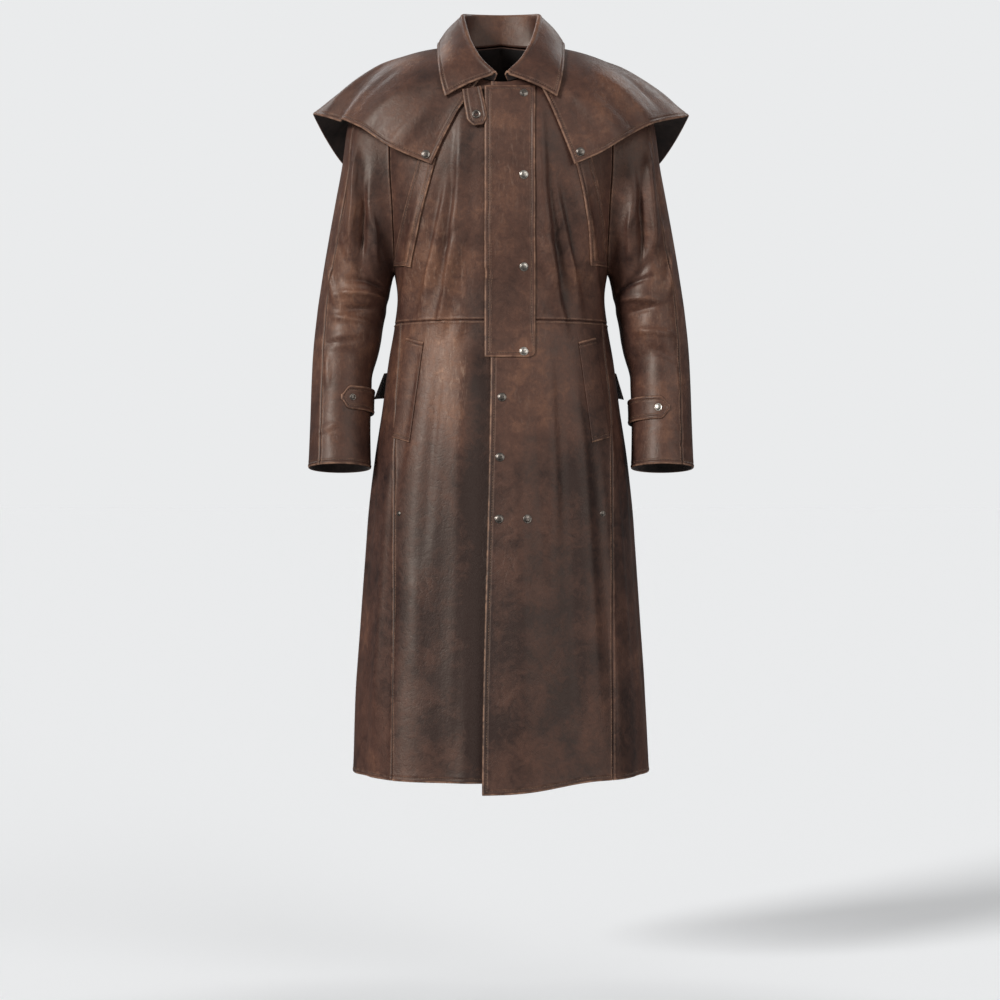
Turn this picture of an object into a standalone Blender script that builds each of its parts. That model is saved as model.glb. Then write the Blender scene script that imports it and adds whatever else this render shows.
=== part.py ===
# A leather duster coat, worn: open hollow walls for the bodice, skirt, sleeves, cape and collar.
# Metres. The front of the coat faces -Y, +X is the viewer's right and +Z is up. The origin is the
# middle of the neck opening, level with the inner ends of the shoulder lines.

import math
from collections import namedtuple

import bpy
import numpy as np
from mathutils import Vector
from mathutils.bvhtree import BVHTree

# Leather and seams
WALL = 0.0020
TRIM_WALL = 0.0016
COLLAR_WALL = 0.0024
SEAM_GAP = 0.0003
LAP = 0.0032  # how far the wearer's left front stands proud of the right front
TAB_LIFT = 0.0066  # of the throat tab over the right front, to clear the flap and the cape

# Levels
WAIST_Z = -0.458
CHEST_Z = -0.200
ARMPIT_Z = -0.375
SHOULDER_TIP = (0.200, -0.037)
NECK_HALF_WIDTH = 0.080
SHOULDER_SLOPE = 0.31
SHOULDER_OUT = np.array([0.296, 0, 0.955])  # the way out of the wall at the shoulder seam
TIP_OUT = np.array([0.6, 0, 0.8])  # and at the shoulder's tip, where it turns down the arm
FRONT_NECK_DROP = 0.070
BACK_NECK_RISE = 0.012
FRONT_NECK_TURNS = [8, 30, 50, 64, 76, 90]  # where the bodice and the collar have columns
BACK_NECK_TURNS = [28, 52, 72, 90]  # the same from the centre back
ARMHOLE_FRONT = math.radians(29)
ARMHOLE_BACK = math.radians(27)
ARMHOLE_ROUND = 0.40  # exponent of the armhole's curve, smaller for a squarer one
ARMHOLE_SPANS = 8
ROUND_BODY = 2.4  # exponent of the oval cross-section, a little squarer than an ellipse
ROUND_SHOULDER = 2.2

# Front edges, as X of each edge
UNDER_EDGE_X = 0.035
OVER_EDGE_TOP_X = -0.016
OVER_EDGE_HEM_X = -0.030
HEM_Z = -1.205
OVER_HEM_Z = -1.223
SIDE_BACK_SEAM = math.radians(122)

Level = namedtuple("Level", "z half_width front_depth back_depth")
BODY = [
    Level(-1.240, 0.2480, 0.196, 0.204),
    Level(-1.100, 0.2410, 0.188, 0.196),
    Level(-0.950, 0.2305, 0.176, 0.186),
    Level(-0.830, 0.2220, 0.166, 0.178),
    Level(-0.750, 0.2165, 0.160, 0.172),
    Level(-0.680, 0.2095, 0.156, 0.165),
    Level(-0.600, 0.1975, 0.150, 0.150),
    Level(-0.520, 0.1870, 0.142, 0.130),
    Level(-0.458, 0.1765, 0.137, 0.119),
    Level(-0.415, 0.1720, 0.137, 0.118),
    Level(-0.350, 0.1820, 0.142, 0.128),
    Level(-0.280, 0.1950, 0.146, 0.138),
    Level(-0.200, 0.2040, 0.145, 0.140),
    Level(-0.120, 0.2030, 0.142, 0.137),
    Level(-0.037, 0.2000, 0.140, 0.128),
    Level(0.040, 0.2000, 0.140, 0.122),
]

# Folds that run down the skirt. around: degrees from the centre front, + to the viewer's right
SkirtFold = namedtuple("SkirtFold", "around width rise top_z")
SKIRT_FOLDS = [
    SkirtFold(-17, 8, -0.008, -0.50),
    SkirtFold(-38, 10, 0.006, -0.50),
    SkirtFold(-66, 7, -0.006, -0.75),
    SkirtFold(24, 11, -0.004, -0.55),
    SkirtFold(47, 9, 0.005, -0.60),
    SkirtFold(68, 7, -0.005, -0.80),
    SkirtFold(-113, 9, -0.010, -0.60),
    SkirtFold(-138, 9, 0.011, -0.55),
    SkirtFold(-160, 8, -0.009, -0.60),
    SkirtFold(176, 9, 0.014, -0.52),
    SkirtFold(154, 8, -0.010, -0.62),
    SkirtFold(133, 9, 0.010, -0.55),
    SkirtFold(110, 8, -0.008, -0.65),
]

# Drapes across the bodice front, from (x0, z0) down to (x1, z1)
Drape = namedtuple("Drape", "x0 z0 x1 z1 width rise")
BODICE_DRAPES = [
    Drape(-0.060, -0.190, -0.094, -0.410, 0.013, 0.006),
    Drape(-0.088, -0.230, -0.122, -0.410, 0.012, -0.005),
    Drape(-0.028, -0.250, -0.056, -0.430, 0.012, -0.004),
    Drape(-0.114, -0.210, -0.146, -0.410, 0.013, 0.005),
    Drape(0.064, -0.260, 0.088, -0.410, 0.013, 0.004),
    Drape(0.094, -0.200, 0.112, -0.400, 0.014, -0.004),
    Drape(0.124, -0.210, 0.142, -0.410, 0.014, 0.005),
]

# Sleeve rings: the outer and inner edge seen from the front, then the ring's middle and half depth
Ring = namedtuple("Ring", "t outer_x outer_z inner_x inner_z middle_y half_depth pitch")
SLEEVE = [
    Ring(0.00, 0.2000, -0.037, 0.1770, -0.375, 0.000, 0.088, 0.00),
    Ring(0.04, 0.2290, -0.059, 0.1784, -0.377, 0.000, 0.085, 0.00),
    Ring(0.09, 0.2480, -0.093, 0.1796, -0.380, 0.000, 0.083, 0.00),
    Ring(0.15, 0.2570, -0.137, 0.1808, -0.384, 0.000, 0.082, 0.00),
    Ring(0.23, 0.2640, -0.190, 0.1820, -0.389, 0.002, 0.080, 0.00),
    Ring(0.32, 0.2750, -0.250, 0.1835, -0.395, 0.004, 0.078, 0.00),
    Ring(0.42, 0.2865, -0.312, 0.1855, -0.405, 0.006, 0.075, 0.02),
    Ring(0.52, 0.2980, -0.380, 0.1890, -0.425, 0.008, 0.072, 0.04),
    Ring(0.61, 0.3065, -0.440, 0.1945, -0.458, 0.006, 0.069, 0.06),
    Ring(0.70, 0.3125, -0.500, 0.2030, -0.502, 0.000, 0.066, 0.09),
    Ring(0.79, 0.3150, -0.556, 0.2145, -0.554, -0.010, 0.062, 0.12),
    Ring(0.89, 0.3165, -0.625, 0.2165, -0.625, -0.024, 0.058, 0.13),
    Ring(1.00, 0.3185, -0.697, 0.2150, -0.697, -0.040, 0.056, 0.13),
]

# Creases round the arm. at: along the sleeve, round: degrees, 0 on the outer side, -90 at the front
SleeveCrease = namedtuple("SleeveCrease", "at round slant width reach rise")
SLEEVE_CREASES = [
    SleeveCrease(0.46, -120, -0.03, 0.026, 55, -0.004),
    SleeveCrease(0.53, -110, 0.04, 0.030, 60, 0.003),
    SleeveCrease(0.60, -125, -0.03, 0.030, 55, -0.004),
    SleeveCrease(0.67, -95, 0.04, 0.028, 55, 0.003),
    SleeveCrease(0.74, -130, -0.03, 0.026, 50, -0.004),
    SleeveCrease(0.50, 120, 0.03, 0.028, 60, -0.004),
    SleeveCrease(0.64, 110, -0.04, 0.028, 60, -0.004),
]
ARMHOLE_GAP = 0.0005  # between the bodice's edge and the sleeve's
SLEEVE_SPANS = ARMHOLE_SPANS  # of each half of the sleeve, which meet the rows of the armhole
SLEEVE_SEAM_OUTER = [(0.0, -22.5), (0.15, -38), (0.4, -46), (0.6, -46), (0.76, -53), (1.0, -54)]
SLEEVE_SEAM_INNER = math.radians(157.5)

# Cape, as the line from the neck over the yoke to the hem at each turn round the shoulders
CapeLine = namedtuple(
    "CapeLine", "turn neck_x neck_y neck_z yoke_x yoke_y yoke_z hem_x hem_y hem_z"
)
CAPE = [
    CapeLine(0, 0.036, -0.121, -0.066, 0.075, -0.133, -0.128, 0.1134, -0.139, -0.205),
    CapeLine(28, 0.062, -0.104, -0.043, 0.124, -0.124, -0.096, 0.1800, -0.129, -0.176),
    CapeLine(52, 0.079, -0.060, -0.017, 0.155, -0.089, -0.052, 0.2330, -0.096, -0.139),
    CapeLine(72, 0.086, -0.028, 0.000, 0.170, -0.040, -0.024, 0.2700, -0.050, -0.121),
    CapeLine(88, 0.088, -0.002, 0.004, 0.173, -0.005, -0.016, 0.3040, -0.008, -0.109),
    CapeLine(98, 0.088, 0.012, 0.006, 0.172, 0.018, -0.018, 0.3150, 0.028, -0.103),
    CapeLine(113, 0.085, 0.030, 0.010, 0.165, 0.058, -0.030, 0.2960, 0.084, -0.139),
    CapeLine(130, 0.074, 0.048, 0.012, 0.150, 0.094, -0.052, 0.2620, 0.124, -0.184),
    CapeLine(152, 0.046, 0.066, 0.013, 0.100, 0.124, -0.080, 0.1650, 0.162, -0.240),
    CapeLine(168, 0.021, 0.0725, 0.014, 0.048, 0.132, -0.088, 0.0790, 0.169, -0.261),
    CapeLine(180, 0.000, 0.074, 0.014, 0.000, 0.133, -0.090, 0.0000, 0.171, -0.264),
]
CAPE_CLEAR = 0.0052  # of the cape's outer face over the bodice, with room for the chest bands

# Collar: the fold line and the outer edge of the fall at each angle round the neck
CollarLine = namedtuple("CollarLine", "turn fold_x fold_y fold_z edge_x edge_y edge_z")
COLLAR = [
    CollarLine(8, 0.010, -0.129, -0.0590, 0.0910, -0.1310, -0.0945),
    CollarLine(30, 0.036, -0.107, -0.0300, 0.0985, -0.1205, -0.0635),
    CollarLine(58, 0.055, -0.070, 0.0100, 0.1035, -0.0740, -0.0240),
    CollarLine(90, 0.064, -0.022, 0.0500, 0.1050, -0.0120, 0.0055),
    CollarLine(130, 0.056, 0.034, 0.0610, 0.0860, 0.0680, 0.0060),
    CollarLine(180, 0.000, 0.064, 0.0640, 0.0000, 0.1060, 0.0020),
]
FOLD_RADIUS = 0.0032
COLLAR_BULGE = 0.004
COLLAR_SEAM_RISE = 0.0026  # of the stand over the neck edge

# Pieces on the front, laid out by X and Z as seen from the front
FLAP = {"left": -0.026, "right": 0.055, "top": -0.0775, "bottom": -0.518, "corner": 0.010}
THROAT_TAB = {"top": (-0.0470, -0.083), "tip": (-0.0360, -0.144), "width": 0.032}
POCKET = {"top": (0.1400, -0.489), "bottom": (0.1620, -0.652), "width": 0.028, "slant": 0.30}
BAND_WIDTH = 0.027
BAND_LINES = {
    "right": [(0.1180, -0.192), (0.1330, -0.245), (0.1480, -0.300), (0.1620, -0.366)],
    "left": [(0.1330, -0.192), (0.1460, -0.245), (0.1560, -0.305), (0.1595, -0.366)],
}
SNAP_RADIUS = 0.0074
SMALL_SNAP_RADIUS = 0.0056
CUFF_SNAP_RADIUS = 0.0066
SNAP_HEIGHT = 0.0030
SNAP_LIFT = 0.0005
FLAP_SNAP_X = 0.0365
FLAP_SNAPS_Z = (-0.0910, -0.2240, -0.3720, -0.5100)
EDGE_SNAPS = [(0.0016, -0.584), (-0.0016, -0.681), (-0.0032, -0.781), (0.0420, -0.781)]
SIDE_SNAP_X = 0.166
SIDE_SNAP_Z = -0.772
CAPE_SNAPS = {"right": (-0.1180, -0.190), "left": (0.1235, -0.186)}

# Straps
CUFF_TAB_WIDTH = 0.036
CUFF_TAB_START = math.radians(-250)
CUFF_TAB_AT = {-1: 0.838, 1: 0.862}
CUFF_TAB_TIP = {-1: math.radians(-94), 1: math.radians(-78)}
CUFF_SNAP_BACK = math.radians(21)
CUFF_TAB_SLACK = 0.0035
STRAP_TOP_Z = -0.527
STRAP_WIDTH = 0.044
STRAP_START = math.radians(150)
STRAP_END = math.radians(103)
STRAP_STANDOFF = {-1: 0.021, 1: 0.014}

LEATHER = (0.102, 0.050, 0.030)
LEATHER_LIGHT = (0.150, 0.074, 0.044)
NICKEL = (0.36, 0.34, 0.31)

solids = {}  # the outer face of each cloth piece: its points and triangles


def smooth(t):
    """0 below 0, 1 above 1, with soft ends."""
    t = np.clip(t, 0.0, 1.0)
    return t * t * (3 - 2 * t)


def curve(rows, key, value, at):
    """Reads a column of a table at any key, on a smooth line that never overshoots its rows."""
    xs = np.array([getattr(row, key) for row in rows], float)
    ys = np.array([getattr(row, value) for row in rows], float)
    gaps = np.diff(xs)
    slopes = np.diff(ys) / gaps
    both = slopes[:-1] * slopes[1:]
    total = np.where(both > 0, slopes[:-1] + slopes[1:], 1.0)
    inner = np.where(both > 0, 2 * both / total, 0.0)
    tangents = np.concatenate([[slopes[0]], inner, [slopes[-1]]])
    at = np.clip(at, xs[0], xs[-1])
    i = np.clip(np.searchsorted(xs, at, side="right") - 1, 0, len(xs) - 2)
    t = (at - xs[i]) / gaps[i]
    rise = tangents[i] * gaps[i] * t * (1 - t) ** 2 - tangents[i + 1] * gaps[i] * t * t * (1 - t)
    return ys[i] + (ys[i + 1] - ys[i]) * smooth(t) + rise


def signed_power(value, power):
    return np.sign(value) * np.abs(value) ** power


def unit(vectors):
    return vectors / np.maximum(np.linalg.norm(vectors, axis=-1, keepdims=True), 1e-12)


def steps(low, high, count, ease=0.0):
    """Even steps, or with ease up to 1 closer together at both ends."""
    t = np.linspace(0, 1, count)
    return low + (high - low) * ((1 - ease) * t + ease * (1 - np.cos(np.pi * t)) / 2)


def table_points(table, key, at, place):
    """Points read from the three columns of a table that start with the place's name."""
    return np.stack([curve(table, key, f"{place}_{axis}", at) for axis in "xyz"], axis=-1)


# The shape of the body


def shoulder_z(x):
    """Height of the shoulder seam at a distance from the middle."""
    return -SHOULDER_SLOPE * (np.abs(x) - NECK_HALF_WIDTH)


def skirt_rise(angle, z):
    """How far the skirt's folds stand out from its plain oval."""
    degrees = np.degrees(angle)
    rise = np.zeros(np.broadcast(angle, z).shape)
    for fold in SKIRT_FOLDS:
        off = (degrees - fold.around + 180) % 360 - 180
        grown = smooth((fold.top_z - z) / 0.45)
        rise = rise + fold.rise * np.exp(-((off / fold.width) ** 2)) * grown
    return rise


def drape_rise(x, z):
    """How far the bodice's drapes stand out, for points of the front."""
    rise = np.zeros(np.broadcast(x, z).shape)
    for d in BODICE_DRAPES:
        along = np.array([d.x1 - d.x0, d.z1 - d.z0])
        length = np.hypot(*along)
        along = along / length
        reach = (x - d.x0) * along[0] + (z - d.z0) * along[1]
        off = (x - d.x0) * along[1] - (z - d.z0) * along[0]
        ends = smooth(reach / (0.35 * length)) * smooth((length - reach) / (0.35 * length))
        rise = rise + d.rise * np.exp(-((off / d.width) ** 2)) * ends
    return rise


def body(angle, z):
    """The coat's outer surface at an angle from the centre front, + to the viewer's right."""
    angle, z = np.broadcast_arrays(np.asarray(angle, float), np.asarray(z, float))
    sine, cosine = np.sin(angle), np.cos(angle)
    x = curve(BODY, "z", "half_width", z) * signed_power(sine, 2 / ROUND_BODY)
    ahead, behind = curve(BODY, "z", "front_depth", z), curve(BODY, "z", "back_depth", z)
    y = -np.where(cosine > 0, ahead, behind) * signed_power(cosine, 2 / ROUND_BODY)
    rise = skirt_rise(angle, z) + np.where(cosine > 0, drape_rise(x, z), 0)
    stretch = 1 + rise / np.hypot(x, y)
    x, y = x * stretch, y * stretch
    up = np.clip((z - CHEST_Z) / (shoulder_z(x) - CHEST_Z), 0, 1)
    y = y * (1 - up**ROUND_SHOULDER) ** (1 / ROUND_SHOULDER)
    return np.stack([x, y, z], axis=-1)


def body_out(angle, z, step=0.001):
    """The way out of the body's surface."""
    around = body(angle + step, z) - body(angle - step, z)
    return unit(np.cross(around, body(angle, z + step) - body(angle, z - step)))


def angle_at(x, z, back=False):
    """The angle whose point on the body lies at this x, found by stepping towards it."""
    x, z = np.broadcast_arrays(np.asarray(x, float), np.asarray(z, float))
    aim = x.copy()
    for _ in range(6):
        share = np.clip(aim / curve(BODY, "z", "half_width", z), -1, 1)
        angle = np.arcsin(signed_power(share, ROUND_BODY / 2))
        angle = np.pi - angle if back else angle
        aim = aim + x - body(angle, z)[..., 0]
    return angle


def lap_at(x):
    """How far the wearer's left front is lifted where it lies over the right front."""
    return LAP * (1 - smooth((x - 0.050) / 0.050))


def front(x, z, over=False):
    """The front's outer surface and its way out. over: the left front, which laps the right."""
    angle = angle_at(x, z)
    points = body(angle, z)
    if over:
        points[..., 1] -= lap_at(points[..., 0])
    return points, body_out(angle, z)


# Solids and materials


def material(name, colour, roughness, metallic=0.0):
    made = bpy.data.materials.get(name) or bpy.data.materials.new(name)
    made.use_nodes = True
    shader = made.node_tree.nodes["Principled BSDF"]
    shader.inputs["Base Color"].default_value = (*colour, 1.0)
    shader.inputs["Roughness"].default_value = roughness
    shader.inputs["Metallic"].default_value = metallic
    return made


def leather():
    return material("dark_leather", LEATHER, 0.5)


def trim_leather():
    return material("trim_leather", LEATHER_LIGHT, 0.52)


def nickel():
    return material("aged_nickel", NICKEL, 0.35, 1.0)


def add_solid(name, points, faces, finish):
    """A named object whose own origin is the middle of its points."""
    points = np.asarray(points, float)
    middle = (points.min(axis=0) + points.max(axis=0)) / 2
    mesh = bpy.data.meshes.new(name)
    mesh.from_pydata((points - middle).tolist(), [], faces)
    mesh.update()
    mesh.shade_smooth()
    mesh.set_sharp_from_angle(angle=math.radians(50))
    mesh.materials.append(finish)
    made = bpy.data.objects.new(name, mesh)
    made.location = middle
    made.parent = coat
    bpy.context.scene.collection.objects.link(made)


def grid_faces(grid):
    """The triangles of a grid of points, each four-sided cell cut along its shorter diagonal."""
    rows, columns = grid.shape[:2]
    faces = []
    for r in range(rows - 1):
        for c in range(columns - 1):
            a, b = r * columns + c, r * columns + c + 1
            d, e = a + columns, b + columns
            falling = np.linalg.norm(grid[r, c] - grid[r + 1, c + 1])
            rising = np.linalg.norm(grid[r, c + 1] - grid[r + 1, c])
            faces += [(a, b, e), (a, e, d)] if falling < rising else [(a, b, d), (b, e, d)]
    return faces


def grid_out(grid):
    """The way across a grid of points, from its columns' direction to its rows'."""
    return unit(np.cross(np.gradient(grid, axis=1), np.gradient(grid, axis=0)))


def add_wall(name, outer, outwards, finish, thickness=WALL):
    """A closed cloth wall between a grid of outer points and the same points moved inwards."""
    rows, columns = outer.shape[:2]
    if (grid_out(outer) * outwards).sum() < 0:
        outer, outwards = outer[:, ::-1], outwards[:, ::-1]
    inner = outer - thickness * outwards
    sheet = grid_faces(outer)
    solids[name] = outer.reshape(-1, 3).tolist(), sheet
    count = rows * columns
    border = [(c + 1, c) for c in range(columns - 1)]
    border += [(r * columns, (r + 1) * columns) for r in range(rows - 1)]
    border += [(count - columns + c, count - columns + c + 1) for c in range(columns - 1)]
    border += [((r + 2) * columns - 1, (r + 1) * columns - 1) for r in range(rows - 1)]
    faces = sheet + [tuple(count + i for i in face[::-1]) for face in sheet]
    faces += [(a, b, count + b, count + a) for a, b in border]
    add_solid(name, np.concatenate([outer.reshape(-1, 3), inner.reshape(-1, 3)]), faces, finish)


def dropped(names, points, outwards, reach=0.02):
    """Points moved along their way out onto the outermost face of the named pieces."""
    trees = [BVHTree.FromPolygons(*solids[name]) for name in names]
    moved = points.copy()
    for i in np.ndindex(points.shape[:-1]):
        start = Vector(points[i] + reach * outwards[i])
        hits = [tree.ray_cast(start, Vector(-outwards[i]), 2 * reach) for tree in trees]
        depths = [depth for place, _, _, depth in hits if place is not None]
        if depths:
            moved[i] = points[i] + (reach - min(depths)) * outwards[i]
    return moved


def cleared(names, points, gap, reach=0.02):
    """Points near the named pieces moved straight out until they clear them by the gap."""
    trees = [BVHTree.FromPolygons(*solids[name]) for name in names]
    moved = points.copy()
    for i in np.ndindex(points.shape[:-1]):
        for tree in trees:
            place, normal, _, distance = tree.find_nearest(Vector(moved[i]))
            off = Vector(moved[i]) - place
            height = off.dot(normal)
            outside = height > 0
            beside = abs(height) < 0.8 * distance  # the nearest point is on the piece's border
            if distance < (gap if outside else 0 if beside else reach):
                moved[i] = place + gap * (off.normalized() if outside else normal)
    return moved


def finer(grid, parts=4):
    """A grid with each span cut into equal parts along both ways."""
    for axis in (0, 1):
        low, high = (grid[:-1], grid[1:]) if axis == 0 else (grid[:, :-1], grid[:, 1:])
        cuts = [low + (high - low) * k / parts for k in range(parts)]
        shape = list(low.shape)
        shape[axis] *= parts
        grid = np.stack(cuts, axis=axis + 1).reshape(shape)
    return grid


def ridges(on, surface, outwards, parts=4):
    """How far the pieces below stand past the cells that meet at each point of a grid."""
    fine, fine_out = finer(surface, parts), finer(outwards, parts)
    above = ((dropped(on, fine, fine_out) - fine) * fine_out).sum(axis=-1)
    rows, columns = surface.shape[0] - 1, surface.shape[1] - 1
    cells = np.pad(above.reshape(rows, parts, columns, parts).max(axis=(1, 3)), 1)
    cells = np.maximum(cells[1:], cells[:-1])
    return np.maximum(cells[:, 1:], cells[:, :-1])[..., None].clip(0)


def add_laid(name, on, points, outwards, finish, thickness=TRIM_WALL, slack=0.0):
    """A piece that lies on others: their points, moved out just past every ridge below it."""
    surface = dropped(on, points, outwards)
    lift = slack + ridges(on, surface, outwards) + SEAM_GAP + thickness
    outer = surface + lift * outwards
    if np.ndim(slack):
        away = grid_out(outer)
        outwards = away * np.sign((away * outwards).sum(axis=-1, keepdims=True))
    add_wall(name, outer, outwards, finish, thickness)


def mirrored(points, side):
    return points * np.array([side, 1, 1])


# Bodice


def armhole_angle(z, back):
    """Angle from the centre front of the armhole's edge at this height."""
    up = np.clip((z - ARMPIT_Z) / (SHOULDER_TIP[1] - ARMPIT_Z), 0, 1)
    cut = np.sin(np.pi * up) ** ARMHOLE_ROUND
    return np.pi / 2 + np.where(back, ARMHOLE_BACK, -ARMHOLE_FRONT) * cut


def armhole_z(turn):
    """Height of the armhole's edge at a turn round it, 0 at the shoulder tip."""
    return ARMPIT_Z + (SHOULDER_TIP[1] - ARMPIT_Z) * (1 + np.cos(turn)) / 2


def armhole_edge(turn):
    """The armhole's edge at a turn round it, on the +X side."""
    return body(armhole_angle(armhole_z(turn), np.sin(turn) > 0), armhole_z(turn))


def armhole_out(turn):
    """The way out of the bodice at its armhole, which the sleeve's first row shares."""
    z = armhole_z(turn)
    out = body_out(armhole_angle(z, np.sin(turn) > 0), z)
    return np.where(np.abs(turn[..., None]) < 0.02, TIP_OUT, out)


def sleeve_edge(turn):
    """The sleeve's first row: the armhole's edge moved off the bodice by the seam's gap."""
    along = armhole_edge(turn + 0.3) - armhole_edge(turn - 0.3)
    return armhole_edge(turn) + ARMHOLE_GAP * unit(np.cross(along, armhole_out(turn)))


def neckline(turn, back):
    """X and height of the neckline at a turn from its middle, 90 degrees at the shoulder."""
    height = BACK_NECK_RISE * (1 - np.sin(turn)) if back else -FRONT_NECK_DROP * np.cos(turn)
    return NECK_HALF_WIDTH * np.sin(turn), height


def bodice_half(side, start_x, back, over=False):
    """Half a bodice from its middle edge to the side and armhole, waist row first."""
    tip_x, tip_z = SHOULDER_TIP
    turns = BACK_NECK_TURNS if back else FRONT_NECK_TURNS
    turn = np.append(math.asin(start_x / NECK_HALF_WIDTH), np.radians(turns))
    neck_x, neck_z = neckline(turn, back)
    shoulder_x = steps(NECK_HALF_WIDTH, tip_x, 6)[1:]
    top_x = np.concatenate([neck_x, shoulder_x])
    top_z = np.concatenate([neck_z, shoulder_z(shoulder_x)])
    armpit_row = (ARMPIT_Z - WAIST_Z) / (tip_z - WAIST_Z)
    rise = np.concatenate([steps(0, armpit_row, 7)[:-1], steps(armpit_row, 1, ARMHOLE_SPANS + 1, ease=1.0)])
    share = (top_x - start_x) / (tip_x - start_x)
    z = WAIST_Z + SEAM_GAP / 2 + (top_z - WAIST_Z - SEAM_GAP / 2) * rise[:, None]
    start = angle_at(start_x, z[:, :1])
    low_angle = start + (np.pi / 2 - start) * share
    angle = low_angle + (angle_at(top_x, top_z) - low_angle) * rise[:, None] ** 6
    edge = armhole_angle(z[:, -1:], back)
    edge = np.pi - edge if back else edge
    angle = angle + (edge - angle[:, -1:]) * share**2
    angle = np.pi - angle if back else angle
    grid, outwards = body(angle, z), body_out(angle, z)
    grid[-1] = body(angle_at(top_x, top_z, back), top_z)
    shoulder = slice(len(turn) - 1, None)
    grid[-1, shoulder, 0], grid[-1, shoulder, 1] = top_x[shoulder], 0.0
    outwards[-1, shoulder], outwards[-1, -1] = SHOULDER_OUT, TIP_OUT
    grid[..., 1] += SEAM_GAP / 2 if back else -SEAM_GAP / 2
    if over:
        grid[..., 1] -= lap_at(grid[..., 0])
    return mirrored(grid, side), mirrored(outwards, side)


def add_bodice():
    """Both fronts and the back, from the waist seam to the neckline and shoulder seams."""
    add_wall("bodice_right_front", *bodice_half(-1, -UNDER_EDGE_X, back=False), leather())
    add_wall("bodice_left_front", *bodice_half(1, OVER_EDGE_TOP_X, back=False, over=True), leather())
    half = bodice_half(1, 0.0, back=True)
    whole = [np.concatenate([mirrored(part[:, :0:-1], -1), part], axis=1) for part in half]
    add_wall("bodice_back", *whole, leather())


# Skirt


def over_edge_x(z):
    """X of the wearer's left front edge, which swings a little towards the hem."""
    down = smooth((WAIST_Z - z) / (WAIST_Z - OVER_HEM_Z))
    return OVER_EDGE_TOP_X + (OVER_EDGE_HEM_X - OVER_EDGE_TOP_X) * down


def side_front_seam(side, z):
    """Angle of the seam between the front and side skirt panels, upright as seen."""
    x_at_waist, x_at_hem = (0.1655, 0.1745) if side < 0 else (0.1680, 0.1815)
    x = x_at_waist + (x_at_hem - x_at_waist) * smooth((WAIST_Z - z) / 0.18)
    return side * angle_at(x, z)


def hem_z(angle):
    """Height of the hem, a little higher at the sides than in front."""
    return HEM_Z + 0.006 * np.sin(angle) ** 2


def over_hem_z(angle):
    """Height of the left front's hem, which drops to a corner at the centre."""
    return hem_z(angle) + (OVER_HEM_Z - HEM_Z) * (1 - smooth((angle + 0.1) / 0.75))


def skirt_panel(first_seam, last_seam, columns, hem=hem_z, over=False, rows=16):
    """A skirt panel between two seams, given as angles at a height, waist row first."""
    share = np.linspace(0, 1, columns)
    down = steps(0, 1, rows)[:, None]
    top = WAIST_Z - SEAM_GAP / 2
    level = top + (HEM_Z - top) * down
    seam_half = SEAM_GAP / 2 / BODY[2].half_width
    first, last = first_seam(level) + seam_half, last_seam(level) - seam_half
    angle = first + (last - first) * share
    z = top + (hem(angle) - top) * down
    points, outwards = body(angle, z), body_out(angle, z)
    if over:
        points[..., 1] -= lap_at(points[..., 0])
    return points, outwards


def add_skirt():
    """Two front panels that lap, two side panels and the back, from the waist to the hem."""
    def right_seam(z):
        return side_front_seam(-1, z)

    def left_seam(z):
        return side_front_seam(1, z)

    def left_back_seam(z):
        return SIDE_BACK_SEAM + 0 * z

    def right_back_seam(z):
        return -SIDE_BACK_SEAM + 0 * z

    def under_edge(z):
        return angle_at(UNDER_EDGE_X, z)

    def over_edge(z):
        return angle_at(over_edge_x(z), z)

    def round_the_back(z):
        return 2 * np.pi - SIDE_BACK_SEAM + 0 * z

    over = skirt_panel(over_edge, left_seam, 13, hem=over_hem_z, over=True)
    add_wall("skirt_right_front", *skirt_panel(right_seam, under_edge, 13), leather())
    add_wall("skirt_left_front", *over, leather())
    add_wall("skirt_right_side", *skirt_panel(right_back_seam, right_seam, 10), leather())
    add_wall("skirt_left_side", *skirt_panel(left_seam, left_back_seam, 10), leather())
    add_wall("skirt_back", *skirt_panel(left_back_seam, round_the_back, 17), leather())


# Sleeves


def crease_swell(t, turn):
    """Share by which the creases widen or narrow the sleeve's ring."""
    rise = np.zeros(np.broadcast(t, turn).shape)
    for crease in SLEEVE_CREASES:
        off = (np.degrees(turn) - crease.round + 180) % 360 - 180
        along = (t - crease.at - crease.slant * off / 60) / crease.width
        rise = rise + crease.rise * np.exp(-(along**2) - (off / crease.reach) ** 2)
    return 1 + rise / 0.06


def sleeve(side, t, turn):
    """A sleeve's surface. t: 0 at the armhole to 1 at the cuff, turn: 0 outside, + to the back."""
    t, turn = np.broadcast_arrays(np.asarray(t, float), np.asarray(turn, float))
    ring = {name: curve(SLEEVE, "t", name, t) for name in Ring._fields[1:]}
    across, deep, swell = np.cos(turn), np.sin(turn), crease_swell(t, turn)
    half_x = (ring["outer_x"] - ring["inner_x"]) / 2
    half_z = (ring["outer_z"] - ring["inner_z"]) / 2
    x = (ring["outer_x"] + ring["inner_x"]) / 2 + half_x * across * swell
    y = ring["middle_y"] + ring["half_depth"] * deep * swell
    z = (ring["outer_z"] + ring["inner_z"]) / 2 + half_z * across
    z = z - ring["pitch"] * ring["half_depth"] * deep
    first = SLEEVE[0]
    first_x = (first.outer_x + first.inner_x + (first.outer_x - first.inner_x) * across) / 2
    plain = np.stack([first_x, first.half_depth * deep, armhole_z(turn)], axis=-1)
    near = 1 - smooth(t / 0.20)
    points = np.stack([x, y, z], axis=-1) + (sleeve_edge(turn) - plain) * near[..., None]
    return mirrored(points, side)


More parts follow.
